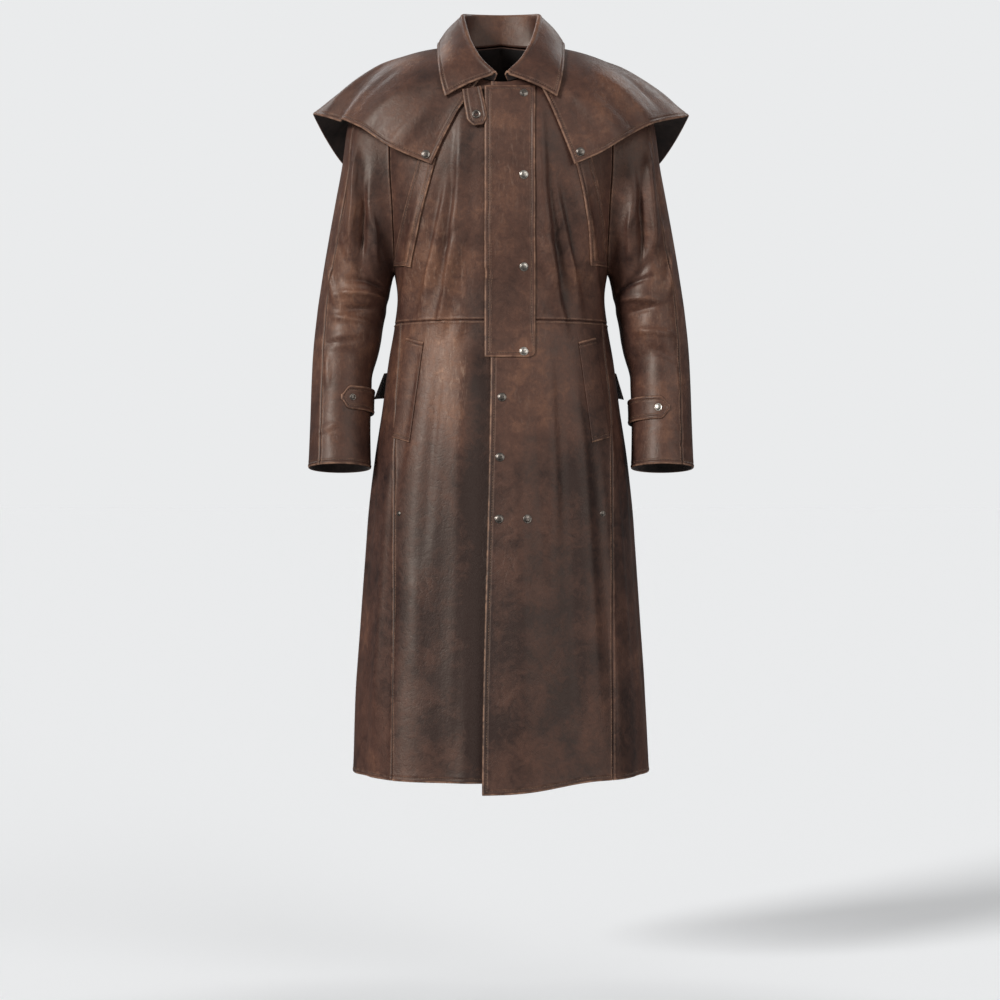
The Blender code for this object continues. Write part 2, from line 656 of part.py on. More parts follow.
def sleeve_out(side, t, turn):
    """The way out of a sleeve's surface."""
    around = sleeve(side, t, turn + 0.01) - sleeve(side, t, turn - 0.01)
    along = sleeve(side, t + 0.003, turn) - sleeve(side, t - 0.003, turn)
    middle = (sleeve(side, t, 0.0) + sleeve(side, t, np.pi)) / 2
    out = unit(np.cross(around, along))
    away = sleeve(side, t, turn) - middle
    return out * np.sign((out * away).sum(axis=-1, keepdims=True))


def sleeve_seam(t):
    """Turn of the visible seam of the two-piece sleeve."""
    at, degrees = zip(*SLEEVE_SEAM_OUTER)
    return np.radians(np.interp(t, at, degrees))


def add_sleeves():
    """Each sleeve is a front piece and a back piece, joined along two seams."""
    t = np.concatenate([steps(0, 0.2, 6)[:-1], steps(0.2, 0.4, 4)[:-1], steps(0.4, 0.82, 13)[:-1]])
    t = np.concatenate([t, steps(0.82, 1.0, 4)])[:, None]
    seam_half = SEAM_GAP / 2 / SLEEVE[-1].half_depth
    inner_seam = SLEEVE_SEAM_INNER + 0 * t
    for word, side in (("right", -1), ("left", 1)):
        share = np.linspace(0, 1, SLEEVE_SPANS + 1)
        for piece, start, end in (
            ("front", inner_seam - 2 * np.pi, sleeve_seam(t)),
            ("back", sleeve_seam(t), inner_seam),
        ):
            turn = start + seam_half + (end - start - 2 * seam_half) * share
            outwards = sleeve_out(side, t, turn)
            over_shoulder = smooth(2 * np.cos(turn[0]))[:, None]
            shared = mirrored(armhole_out(turn[0]), side)
            outwards[0] = unit(outwards[0] + (shared - outwards[0]) * over_shoulder)
            add_wall(f"sleeve_{word}_{piece}", sleeve(side, t, turn), outwards, leather())


# Cape and collar


def cape_wave(side, turns, rows):
    """Waves that grow towards the hem: a tucked fold on the viewer's left, softer ones elsewhere."""
    folds = [(64, 6, 0.006), (74, 6, -0.007), (140, 9, 0.008), (158, 8, -0.008)]
    if side > 0:
        folds = [(34, 9, 0.004), (52, 8, -0.004), (142, 9, 0.007), (160, 8, -0.007)]
    grown = smooth((rows - 0.25) / 0.75)[:, None]
    rise = grown * sum(h * np.exp(-(((turns - a) / w) ** 2)) for a, w, h in folds)
    out = np.radians(turns)
    return np.stack([rise * np.sin(out), -rise * np.cos(out), 0.6 * rise], axis=-1)


def cape_half(side, turns, rows):
    """Half of the cape on smooth lines from the neck over the yoke to the hem, neck row first."""
    neck, yoke, hem = (table_points(CAPE, "turn", turns, part) for part in ("neck", "yoke", "hem"))
    if side > 0:  # this front edge lies further out, clear of the flap
        reach = (1 - smooth(turns / 30))[:, None]
        neck = neck + np.array([0.022, 0.004, 0.003]) * reach
        yoke = yoke + np.array([0.013, 0.002, 0.002]) * reach
        hem = hem + np.array([0.006, 0.0, 0.0]) * reach
        shoulder = np.exp(-(((turns - 88) / 30) ** 2))[:, None]
        yoke = yoke - np.array([0.0, 0.0, 0.004]) * shoulder
        hem = hem - np.array([0.0, 0.0, 0.003]) * shoulder
    first = np.linalg.norm(yoke - neck, axis=-1)
    bend = (first / (first + np.linalg.norm(hem - yoke, axis=-1)))[None, :, None]
    f = rows[:, None, None]
    grid = neck * (f - bend) * (f - 1) / bend + yoke * f * (f - 1) / (bend * (bend - 1))
    grid = grid + hem * f * (f - bend) / (1 - bend) + cape_wave(side, turns, rows)
    return mirrored(grid, side)


def add_cape():
    """The cape, from the viewer's left front edge round the back to the right one."""
    turns = np.concatenate([steps(0, 60, 8), steps(66, 114, 9), [124, 134, 144, 155, 167]])
    rows = steps(0, 1, 9)
    middle = cape_half(1, np.array([180.0]), rows)
    halves = cape_half(-1, turns, rows), middle, cape_half(1, turns[::-1], rows)
    grid = np.concatenate(halves, axis=1)
    bodice = ["bodice_right_front", "bodice_left_front", "bodice_back"]
    grid = cleared(bodice, grid, CAPE_CLEAR)
    outwards = grid_out(grid)
    outwards = outwards * np.sign(outwards[..., 2].sum())
    add_wall("cape", grid, outwards, leather())


def neck_ring(turn):
    """A point of the neck seam at a turn from the centre front, on the +X half."""
    x, low = neckline(turn, back=False)
    high = neckline(turn, back=True)[1]
    z = np.where(np.cos(turn) > 0, low, high)
    ahead, behind = body(angle_at(x, z), z), body(angle_at(x, z, back=True), z)
    return np.stack([x, np.where(np.cos(turn) > 0, ahead[..., 1], behind[..., 1]), z], axis=-1)


def collar_half(turns):
    """Half of the collar's middle surface, from the neck seam over the fold to the outer edge."""
    fold, edge = (table_points(COLLAR, "turn", turns, part) for part in ("fold", "edge"))
    seam = neck_ring(np.radians(turns))
    seam = seam + COLLAR_SEAM_RISE * unit(fold - seam)
    out = unit((edge - fold) * np.array([1, 1, 0]))
    rise = np.array([0, 0, 1.0])
    inner, outer = fold - FOLD_RADIUS * out, fold + FOLD_RADIUS * out
    rows = [seam + (inner - seam) * f for f in (0.0, 0.33, 0.67, 1.0)]
    for degrees in (60, 120):
        a = math.radians(degrees)
        rows.append(fold + FOLD_RADIUS * (-math.cos(a) * out + math.sin(a) * rise))
    for f in (0.0, 0.25, 0.5, 0.75, 1.0):
        bulge = COLLAR_BULGE * math.sin(math.pi * f)
        rows.append(outer + (edge - outer) * f + bulge * unit(out + 0.5 * rise))
    return np.stack(rows)


def add_collar():
    """One fold-down collar: stand, fold and fall, open at the front."""
    turns = np.array(FRONT_NECK_TURNS + [180 - turn for turn in BACK_NECK_TURNS[-2::-1]], float)
    half = collar_half(turns)
    middle = collar_half(np.array([180.0]))
    grid = np.concatenate([mirrored(half, -1), middle, half[:, ::-1]], axis=1)
    outwards = grid_out(grid)
    outwards = outwards * np.sign(outwards[-1, len(turns), 1])
    add_wall("collar", grid + outwards * COLLAR_WALL / 2, outwards, leather(), COLLAR_WALL)


# Pieces that lie on the panels


def add_flap():
    """The storm flap, sewn along the viewer's left edge over the left front's edge."""
    x = np.linspace(FLAP["left"], FLAP["right"], 7) + np.zeros((18, 1))
    z = np.linspace(FLAP["top"], FLAP["bottom"], 18)[:, None] + 0 * x
    past = np.clip((x[-1] - FLAP["right"] + FLAP["corner"]) / FLAP["corner"], 0, 1)
    z[-1] += FLAP["corner"] * (1 - np.sqrt(1 - past**2))
    points, outwards = front(x, z, over=True)
    on = ["bodice_left_front", "skirt_left_front"]
    add_laid("storm_flap", on, points, outwards, leather(), thickness=WALL)


def add_throat_tab():
    """The tab under the collar on the viewer's left, with clipped corners and an open snap."""
    top, tip = np.array(THROAT_TAB["top"]), np.array(THROAT_TAB["tip"])
    along = unit(tip - top)
    over = np.array([-along[1], along[0]])
    down = np.array([0, 0.2, 0.4, 0.6, 0.8, 0.9, 1.0])[:, None]
    widths = np.array([0.92, 0.96, 1.0, 1.0, 1.0, 0.78, 0.45])[:, None] * THROAT_TAB["width"]
    spread = np.linspace(-0.5, 0.5, 5) * widths
    length = np.linalg.norm(tip - top)
    places = top + along * (down * length)[..., None] + over * spread[..., None]
    points, outwards = front(places[..., 0], places[..., 1])
    outer = points + (TAB_LIFT + WALL) * outwards
    add_wall("throat_tab", outer, outwards, leather())
    x, z = top + along * 0.72 * length
    points, outwards = front(x, z)
    add_ring_snap("snap_throat_tab", ["throat_tab"], points, outwards)


def add_pockets():
    """Long slanted welts beside the side front seams."""
    (top_x, top_z), (bottom_x, bottom_z) = POCKET["top"], POCKET["bottom"]
    down = np.linspace(0, 1, 12)[:, None]
    across = np.linspace(-0.5, 0.5, 4) * POCKET["width"]
    for word, side in (("right", -1), ("left", 1)):
        x = top_x + (bottom_x - top_x) * down + across
        z = top_z + (bottom_z - top_z) * down + across * POCKET["slant"]
        points, outwards = front(side * x, z, over=side > 0)
        on = [f"skirt_{word}_front", f"skirt_{word}_side"]
        add_laid(f"pocket_welt_{word}", on, points, outwards, trim_leather())


def add_bands():
    """Chest bands that run from under the cape's corner to the underarm."""
    down = np.linspace(0, 1, 15)
    for word, side in (("right", -1), ("left", 1)):
        knots = BAND_LINES[word]
        at = np.linspace(0, 1, len(knots))
        line = np.stack([np.interp(down, at, column) for column in zip(*knots)], axis=-1)
        along = unit(np.gradient(line, axis=0))
        over = np.stack([-along[:, 1], along[:, 0]], axis=-1)
        places = line[:, None] + over[:, None] * np.linspace(-0.5, 0.5, 4)[:, None] * BAND_WIDTH
        points, outwards = front(side * places[..., 0], places[..., 1], over=side > 0)
        on = [f"bodice_{word}_front"]
        add_laid(f"chest_band_{word}", on, points, outwards, trim_leather())


def add_cuff_tabs():
    """Straps round the wrists from the back of the inner side to a pointed end in front."""
    length = sum(
        math.dist((a.outer_x, a.outer_z), (b.outer_x, b.outer_z))
        for a, b in zip(SLEEVE[:-1], SLEEVE[1:])
    )
    for word, side in (("right", -1), ("left", 1)):
        end, at = CUFF_TAB_TIP[side], CUFF_TAB_AT[side]
        along = np.append(np.linspace(0, 0.90, 17), [0.96, 1.0])[:, None]
        point = 1 - 0.78 * smooth((along - 0.90) / 0.10)
        turn = CUFF_TAB_START + (end - CUFF_TAB_START) * along + np.zeros(5)
        t = at + np.linspace(-0.5, 0.5, 5) * CUFF_TAB_WIDTH / length * point
        points, outwards = sleeve(side, t, turn), sleeve_out(side, t, turn)
        on = [f"sleeve_{word}_front", f"sleeve_{word}_back"]
        slack = CUFF_TAB_SLACK * np.exp(-(((np.degrees(turn) + 180) / 45) ** 2))[..., None]
        add_laid(f"cuff_tab_{word}", on, points, outwards, trim_leather(), slack=slack)
        at_turn = end - CUFF_SNAP_BACK
        place, out = sleeve(side, at, at_turn), sleeve_out(side, at, at_turn)
        add_snap(f"snap_cuff_{word}", [f"cuff_tab_{word}"], place, out, CUFF_SNAP_RADIUS)


def add_waist_straps():
    """Slack adjusting straps from the back to each side, standing off where they end."""
    along = np.linspace(0, 1, 12)[:, None]
    across = np.linspace(0, 1, 5)
    angle = STRAP_START + (STRAP_END - STRAP_START) * along + 0 * across
    z = STRAP_TOP_Z - 0.012 * along - STRAP_WIDTH * across
    for word, side in (("right", -1), ("left", 1)):
        points, outwards = mirrored(body(angle, z), side), mirrored(body_out(angle, z), side)
        slack = STRAP_STANDOFF[side] * smooth((along - 0.35) / 0.65) * (0.45 + 0.55 * across)
        on = ["skirt_back", f"skirt_{word}_side"]
        add_laid(f"waist_strap_{word}", on, points, outwards, trim_leather(), slack=slack[..., None])


# Snaps


def seat_of(on, place, towards):
    """Where a snap sits on the named pieces, and the way that the leather there faces."""
    trees = [BVHTree.FromPolygons(*solids[name]) for name in on]
    start = Vector(place + 0.03 * towards)
    hits = [tree.ray_cast(start, Vector(-towards), 0.06) for tree in trees]
    point, normal, _, _ = min((hit for hit in hits if hit[0] is not None), key=lambda hit: hit[3])
    normal = np.array(normal) if normal.dot(Vector(towards)) > 0 else -np.array(normal)
    return np.array(point) + SNAP_LIFT * normal, normal


def turned(profile, seat, axis, sides):
    """Rings of points round an axis, one for each radius and height."""
    first = unit(np.cross(axis, np.array([0.3, 0.1, 1.0])))
    second = np.cross(axis, first)
    angles = np.arange(sides)[:, None] * 2 * math.pi / sides
    spokes = np.cos(angles) * first + np.sin(angles) * second
    return np.concatenate([seat + r * spokes + h * axis for r, h in profile])


def ring_faces(first, second, sides):
    """Faces between two rings of points, given by the index that each starts at."""
    return [
        (first + k, first + (k + 1) % sides, second + (k + 1) % sides, second + k)
        for k in range(sides)
    ]


def add_snap(name, on, place, towards, radius=SNAP_RADIUS):
    """A domed snap cap with a rolled rim, seated just clear of the leather."""
    seat, axis = seat_of(on, place, towards)
    sides = 12
    rim = [(0.94 * radius, 0.0), (radius, 0.28 * SNAP_HEIGHT), (0.82 * radius, 0.70 * SNAP_HEIGHT)]
    points = turned(rim, seat, axis, sides)
    points = np.concatenate([points, [seat + SNAP_HEIGHT * axis]])
    top = len(points) - 1
    faces = [tuple(range(sides))[::-1]]
    faces += ring_faces(0, sides, sides) + ring_faces(sides, 2 * sides, sides)
    faces += [(2 * sides + k, 2 * sides + (k + 1) % sides, top) for k in range(sides)]
    add_solid(name, points, faces, nickel())


def add_ring_snap(name, on, place, towards, radius=SNAP_RADIUS):
    """The open half of a snap: a ring round a hole."""
    seat, axis = seat_of(on, place, towards)
    sides = 14
    height = 0.7 * SNAP_HEIGHT
    section = [(0.42, 0.0), (1.0, 0.0), (1.0, 0.6), (0.72, 1.0), (0.42, 0.7)]
    profile = [(r * radius, h * height) for r, h in section]
    points = turned(profile, seat, axis, sides)
    faces = []
    for ring in range(len(profile)):
        faces += ring_faces(ring * sides, (ring + 1) % len(profile) * sides, sides)
    add_solid(name, points, faces, nickel())


def add_snaps():
    """Flap, front edge, side seam and cape corner snaps."""
    for i, z in enumerate(FLAP_SNAPS_Z):
        add_snap(f"snap_flap_{i + 1}", ["storm_flap"], *front(FLAP_SNAP_X, z))
    for i, (x, z) in enumerate(EDGE_SNAPS):
        add_snap(f"snap_front_{i + 1}", ["skirt_left_front"], *front(x, z))
    for word, x in (("right", -SIDE_SNAP_X), ("left", SIDE_SNAP_X)):
        on = [f"skirt_{word}_front"]
        add_snap(f"snap_side_{word}", on, *front(x, SIDE_SNAP_Z), SMALL_SNAP_RADIUS)
    for word, (x, z) in CAPE_SNAPS.items():
        add_snap(f"snap_cape_{word}", ["cape"], *front(x, z))


for thing in list(bpy.data.objects):
    bpy.data.objects.remove(thing)
coat = bpy.data.objects.new("duster_coat", None)
bpy.context.scene.collection.objects.link(coat)

add_bodice()
add_skirt()
add_sleeves()
add_cape()
add_collar()
add_flap()
add_throat_tab()
add_pockets()
add_bands()
add_cuff_tabs()
add_waist_straps()
add_snaps()
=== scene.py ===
import math

import bmesh
import bpy
import numpy as np
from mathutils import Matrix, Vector
from mathutils.bvhtree import BVHTree


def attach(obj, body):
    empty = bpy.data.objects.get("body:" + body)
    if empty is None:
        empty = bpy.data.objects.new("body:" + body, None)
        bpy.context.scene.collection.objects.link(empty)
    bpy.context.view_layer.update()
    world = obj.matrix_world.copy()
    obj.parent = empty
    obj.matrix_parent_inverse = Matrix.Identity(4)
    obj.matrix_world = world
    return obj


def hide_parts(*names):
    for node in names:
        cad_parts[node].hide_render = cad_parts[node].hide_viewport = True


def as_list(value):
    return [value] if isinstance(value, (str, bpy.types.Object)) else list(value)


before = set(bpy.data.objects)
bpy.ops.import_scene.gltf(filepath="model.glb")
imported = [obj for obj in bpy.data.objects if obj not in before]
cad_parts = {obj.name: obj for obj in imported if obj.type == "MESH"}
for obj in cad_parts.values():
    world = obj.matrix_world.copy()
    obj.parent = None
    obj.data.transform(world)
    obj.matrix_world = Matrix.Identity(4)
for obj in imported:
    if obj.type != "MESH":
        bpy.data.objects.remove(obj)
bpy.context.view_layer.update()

# A long brown leather duster coat with a shoulder cape, dressed over its imported solids.
# Metres. The front faces -Y, +X is the viewer's right and +Z is up. Each hide panel is a fine shell
# on the same form as its solid, with creases, turned edges and sewing laid on.


# Small tools

def smooth(t):
    t = np.clip(t, 0.0, 1.0)
    return t * t * (3 - 2 * t)


def bell(distance, at, wide):  # 1 at a place, falling off on both sides
    return np.exp(-(((distance - at) / wide) ** 2))


def unit(vectors):
    return vectors / np.maximum(np.linalg.norm(vectors, axis=-1, keepdims=True), 1e-12)


def signedPower(value, power):
    return np.sign(value) * np.abs(value) ** power


def mirrored(points, side):
    return points * np.array([side, 1, 1])


def readCurve(rows, column, at):  # a table's column at any key, on a smooth line that never overshoots
    xs = np.array([row[0] for row in rows], float)
    ys = np.array([row[column] for row in rows], float)
    gaps = np.diff(xs)
    slopes = np.diff(ys) / gaps
    both = slopes[:-1] * slopes[1:]
    total = np.where(both > 0, slopes[:-1] + slopes[1:], 1.0)
    tangents = np.concatenate([[slopes[0]], np.where(both > 0, 2 * both / total, 0.0), [slopes[-1]]])
    at = np.clip(at, xs[0], xs[-1])
    i = np.clip(np.searchsorted(xs, at, side="right") - 1, 0, len(xs) - 2)
    t = (at - xs[i]) / gaps[i]
    rise = tangents[i] * gaps[i] * t * (1 - t) ** 2 - tangents[i + 1] * gaps[i] * t * t * (1 - t)
    return ys[i] + (ys[i + 1] - ys[i]) * smooth(t) + rise


def readPoints(rows, column, at):  # three columns, x, y and z, from this one on
    return np.stack([readCurve(rows, column + i, at) for i in range(3)], axis=-1)


def strokeRise(strokes, u, v, fade=0.3, sides=(0.8, 1.5)):  # soft ridges (rise > 0) and troughs
    rise = np.zeros(np.broadcast(u, v).shape)
    for u0, v0, u1, v1, width, height in np.array(strokes) / 1000:
        length = math.hypot(u1 - u0, v1 - v0)
        along = (u1 - u0) / length, (v1 - v0) / length
        reach = (u - u0) * along[0] + (v - v0) * along[1]
        off = (u - u0) * along[1] - (v - v0) * along[0]
        ends = smooth(reach / (fade * length)) * smooth((length - reach) / (fade * length))
        wide = width * np.where(off > 0, sides[1], sides[0])  # each fold is steeper on one side
        rise = rise + height * bell(off, 0, wide) * ends
    return rise


nearEdge = np.array([0.0008, 0.0018, 0.0030, 0.0042, 0.0054, 0.0066, 0.0080, 0.0100, 0.0125])


def fineSteps(length, step, first=True, last=True):  # places from 0 to 1, close together at turned edges
    near = nearEdge[nearEdge < 0.45 * length - step]
    low = near if first else np.array([])
    high = length - near[::-1] if last else np.array([])
    start = low[-1] + step if first else step
    end = high[0] - step if last else length - step
    middle = [(start + end) / 2]
    if end > start:
        middle = np.linspace(start, end, max(2, round((end - start) / step) + 1))
    return np.concatenate([[0.0], low, middle, high, [length]]) / length


# The form of the coat, the same as its solids'

coat = {
    "wall": 0.0020,
    "trimWall": 0.0016,
    "collarWall": 0.0024,
    "seamGap": 0.0003,
    "lap": 0.0032,
    "waistZ": -0.458,
    "chestZ": -0.200,
    "armpitZ": -0.375,
    "tipX": 0.200,
    "tipZ": -0.037,
    "neckHalf": 0.080,
    "shoulderSlope": 0.31,
    "frontNeckDrop": 0.070,
    "backNeckRise": 0.012,
    "armholeFront": math.radians(29),
    "armholeBack": math.radians(27),
    "hemZ": -1.205,
    "overHemZ": -1.223,
    "underEdgeX": 0.035,
    "overEdgeTopX": -0.016,
    "overEdgeHemX": -0.030,
    "hemRise": 0.006,  # at the sides
    "sideSeamX": {-1: (0.1655, 0.1745), 1: (0.1680, 0.1815)},  # at the waist and lower down
    "roundness": 2.4,  # the power of the body's superellipse, seen from above
    "shoulderRound": 2.2,
}

bodyLevels = [  # height, half width, depth in front, depth behind
    (-1.240, 0.2480, 0.196, 0.204),
    (-1.100, 0.2410, 0.188, 0.196),
    (-0.950, 0.2305, 0.176, 0.186),
    (-0.830, 0.2220, 0.166, 0.178),
    (-0.750, 0.2165, 0.160, 0.172),
    (-0.680, 0.2095, 0.156, 0.165),
    (-0.600, 0.1975, 0.150, 0.150),
    (-0.520, 0.1870, 0.142, 0.130),
    (-0.458, 0.1765, 0.137, 0.119),
    (-0.415, 0.1720, 0.137, 0.118),
    (-0.350, 0.1820, 0.142, 0.128),
    (-0.280, 0.1950, 0.146, 0.138),
    (-0.200, 0.2040, 0.145, 0.140),
    (-0.120, 0.2030, 0.142, 0.137),
    (-0.037, 0.2000, 0.140, 0.128),
    (0.040, 0.2000, 0.140, 0.122),
]

skirtFolds = [  # degrees from the centre front, width in degrees, rise, height where it starts
    (-17, 8, -0.008, -0.50),
    (-38, 10, 0.006, -0.50),
    (-66, 7, -0.006, -0.75),
    (24, 11, -0.004, -0.55),
    (47, 9, 0.005, -0.60),
    (68, 7, -0.005, -0.80),
    (-113, 9, -0.010, -0.60),
    (-138, 9, 0.011, -0.55),
    (-160, 8, -0.009, -0.60),
    (176, 9, 0.014, -0.52),
    (154, 8, -0.010, -0.62),
    (133, 9, 0.010, -0.55),
    (110, 8, -0.008, -0.65),
]

bodiceDrapes = [  # from x, z down to x, z, width, rise, in millimetres
    (-60, -190, -94, -410, 13, 6), (-88, -230, -122, -410, 12, -5),
    (-28, -250, -56, -430, 12, -4), (-114, -210, -146, -410, 13, 5),
    (64, -260, 88, -410, 13, 4), (94, -200, 112, -400, 14, -4),
    (124, -210, 142, -410, 14, 5),
]

creases = {  # laid over the main folds: from u, v to u, v, width, rise, in millimetres
    "bodiceFront": [
        (-78, -165, -140, -475, 6.2, 7.9), (-40, -170, -122, -490, 6, 8.4),
        (-26, -255, -104, -500, 5.6, 7.2), (-16, -350, -78, -505, 5.2, 5.6),
        (-124, -250, -170, -475, 6.6, 6.9), (-66, -100, -66, -245, 6, 4.4),
        (-52, -215, -100, -420, 5, -5.4), (-90, -240, -138, -455, 5.2, -5.6),
        (-98, -380, -60, -470, 4, 2.8), (62, -150, 94, -480, 6.4, 6.4),
        (84, -210, 136, -480, 6.6, 6.9), (58, -285, 112, -500, 5.6, 5.6),
        (132, -240, 168, -480, 6.4, 6.1), (76, -200, 104, -420, 5.2, -5.4),
        (66, -305, 102, -345, 4, -2.8), (64, -100, 70, -240, 7, 3.8),
        (90, -370, 58, -470, 4.4, 2.6),
    ],
    "bodiceBack": [
        (-20, -285, -62, -440, 10, 3.2), (14, -295, 72, -448, 9, -3),
        (-90, -270, -112, -430, 8.5, 2.7), (101, -280, 122, -440, 9, 3),
        (50, -270, 44, -425, 7.5, 2.2), (-140, -290, -151, -440, 8, -2.6),
        (-50, -290, -34, -448, 7, -2.1), (150, -310, 157, -448, 7.5, -2.2),
        (-80, -410, 10, -445, 6, 1.4),
    ],
    "skirt": [  # u is the arc round the body at a radius of 0.2
        (-54, -480, -58, -1240, 13, 3.6), (-96, -490, -104, -900, 10, -3),
        (-150, -465, -166, -760, 11, -3), (-116, -840, -106, -1060, 13, 2.4),
        (-160, -820, -156, -1230, 12, -3.4), (-192, -600, -200, -1170, 12, 3.6),
        (-284, -640, -290, -1210, 13, 3.6), (-250, -520, -262, -900, 11, -2.6),
        (22, -600, 20, -1240, 14, 3), (46, -560, 50, -1000, 11, -3.6),
        (72, -470, 70, -860, 10, 3), (92, -500, 98, -1220, 14, -3.4),
        (124, -480, 128, -1160, 13, 3.6), (152, -600, 158, -1220, 11, -3.4),
        (202, -540, 210, -1100, 12, 3.2), (280, -600, 288, -1205, 12, -3.2),
        (244, -500, 250, -820, 10, 2.2), (330, -640, 338, -1190, 12, 3.4),
        (-345, -560, -352, -1160, 12, -3), (392, -500, 404, -1120, 12, 6.1),
        (-418, -500, -428, -1190, 13, 6.8), (452, -580, 446, -1200, 12, -5.8),
        (-470, -520, -462, -1080, 11, -5.4), (502, -490, 512, -980, 12, 5.8),
        (-530, -500, -545, -1190, 12, 6.1), (560, -600, 556, -1200, 12, -5.8),
        (-580, -480, -590, -900, 10, -5.1),
    ],
    "sleeveRight": [  # u is the arc round the arm at a radius of 0.075, v the way down it
        (-96, 40, -140, 420, 10, -7.5), (-66, 60, -108, 400, 8, 5),
        (-72, 80, -98, 330, 7.6, 5.8), (-108, 100, -128, 310, 6.8, -6.1),
        (-50, 120, -66, 290, 7.6, -4.3), (-142, 90, -160, 270, 6.8, 4.9),
        (-205, 340, -86, 418, 5.5, -4.9), (-208, 395, -70, 452, 5.1, 4.6),
        (-200, 445, -92, 486, 5.5, -4.6), (-188, 500, -66, 498, 5.1, 4.1),
        (-160, 545, -60, 560, 4.7, -3.2), (-36, 370, -94, 480, 6.8, 3.8),
        (-60, 300, -130, 380, 5.1, 2.9), (-78, 570, -90, 660, 6.8, 2.9),
        (-132, 715, -50, 742, 4.3, 2.5), (-150, 765, -92, 744, 4.3, -2.2),
        (-52, 722, -26, 778, 4.7, 1.9), (78, 110, 102, 320, 9.3, 6.1),
        (128, 150, 142, 360, 7.6, -5.8), (38, 400, 160, 450, 6.4, 4.6),
        (50, 458, 168, 482, 5.9, -4.3), (44, 512, 156, 530, 5.9, 3.8),
        (92, 580, 104, 760, 7.6, -2.9), (20, 200, 34, 420, 8.5, 3.2),
    ],
    "sleeveLeft": [
        (-90, 40, -134, 410, 10, -7.2), (-58, 80, -100, 390, 8, 5),
        (-66, 70, -90, 350, 8.5, 5.5), (-100, 110, -118, 330, 6.8, -5.8),
        (-44, 140, -52, 320, 7.6, -4.1), (-136, 80, -150, 300, 6.8, 5.2),
        (-200, 360, -92, 402, 5.5, -4.3), (-204, 412, -78, 470, 5.5, 4.6),
        (-190, 468, -100, 470, 5.1, -4.3), (-176, 520, -58, 540, 5.1, 3.8),
        (-150, 560, -74, 600, 4.7, -2.9), (-40, 340, -80, 460, 6.8, 3.8),
        (-84, 590, -76, 670, 6.4, 2.6), (-140, 722, -60, 730, 4.3, 2.6),
        (-110, 752, -46, 770, 4.3, -2.3), (-30, 712, -44, 780, 4.7, 2),
        (70, 100, 90, 340, 9.3, 5.8), (120, 130, 138, 330, 7.6, -6.1),
        (46, 380, 150, 442, 6.4, 4.3), (40, 446, 162, 470, 5.9, -4.3),
        (52, 500, 150, 540, 5.9, 4.1), (100, 560, 96, 750, 7.6, -3.2),
    ],
    "capeRight": [  # u is the arc round the shoulders at a radius of 0.25, v the way to the hem
        (80, 80, 98, 230, 20, 1.6), (118, 60, 150, 240, 18, -2),
        (180, 90, 226, 240, 18, 2.4), (262, 80, 268, 230, 14, -2.4),
        (362, 60, 366, 215, 13, 3.6), (420, 70, 424, 215, 12, -3.4),
        (486, 50, 496, 215, 13, 4), (560, 70, 572, 215, 13, -3.6),
        (650, 60, 660, 215, 13, 4.2), (735, 50, 742, 215, 13, -3.2),
    ],
    "capeLeft": [
        (70, 90, 82, 230, 18, -1.6), (110, 70, 138, 240, 18, 2.2),
        (176, 90, 206, 240, 20, -2.2), (236, 80, 262, 230, 16, 2.4),
        (310, 50, 322, 205, 12, -2.6), (390, 60, 396, 215, 13, 3.6),
        (452, 60, 462, 215, 12, -3.6), (528, 50, 536, 215, 13, 4),
        (604, 60, 618, 215, 13, -3.8), (700, 60, 706, 215, 13, 4),
    ],
}


def shoulderZ(x):
    return -coat["shoulderSlope"] * (np.abs(x) - coat["neckHalf"])


def turnedHalfway(degrees):  # the same angle between -180 and 180
    return (degrees + 180) % 360 - 180


def bodyRise(angle, x, z):  # every fold of the body: the skirt's by angle, the bodice's by x
    degrees = np.degrees(angle)
    rise = np.zeros(np.broadcast(angle, z).shape)
    for around, width, height, topZ in skirtFolds:
        off = turnedHalfway(degrees - around)
        rise = rise + height * bell(off, 0, width) * smooth((topZ - z) / 0.45)
    rise = rise + strokeRise(creases["skirt"], turnedHalfway(degrees) * math.radians(0.2), z)
    ahead = np.cos(angle) > 0
    drapes = strokeRise(bodiceDrapes, x, z, fade=0.35, sides=(1, 1))
    drapes = drapes + strokeRise(creases["bodiceFront"], x, z)
    return rise + np.where(ahead, drapes, strokeRise(creases["bodiceBack"], x, z))


def body(angle, z):  # the outer surface at an angle from the centre front, + to the viewer's right
    angle, z = np.broadcast_arrays(np.asarray(angle, float), np.asarray(z, float))
    sine, cosine = np.sin(angle), np.cos(angle)
    x = readCurve(bodyLevels, 1, z) * signedPower(sine, 2 / coat["roundness"])
    depth = np.where(cosine > 0, readCurve(bodyLevels, 2, z), readCurve(bodyLevels, 3, z))
    y = -depth * signedPower(cosine, 2 / coat["roundness"])
    stretch = 1 + bodyRise(angle, x, z) / np.hypot(x, y)
    x, y = x * stretch, y * stretch
    up = np.clip((z - coat["chestZ"]) / (shoulderZ(x) - coat["chestZ"]), 0, 1)
    y = y * (1 - up ** coat["shoulderRound"]) ** (1 / coat["shoulderRound"])
    return np.stack([x, y, z], axis=-1)


def bodyOut(angle, z, step=0.001):
    around = body(angle + step, z) - body(angle - step, z)
    return unit(np.cross(around, body(angle, z + step) - body(angle, z - step)))


def angleAt(x, z, back=False):  # the angle whose point on the body lies at this x
    x, z = np.broadcast_arrays(np.asarray(x, float), np.asarray(z, float))
    aim = x.copy()
    for _ in range(6):
        share = np.clip(aim / readCurve(bodyLevels, 1, z), -1, 1)
        angle = np.arcsin(signedPower(share, coat["roundness"] / 2))
        angle = np.pi - angle if back else angle
        aim = aim + x - body(angle, z)[..., 0]
    return angle


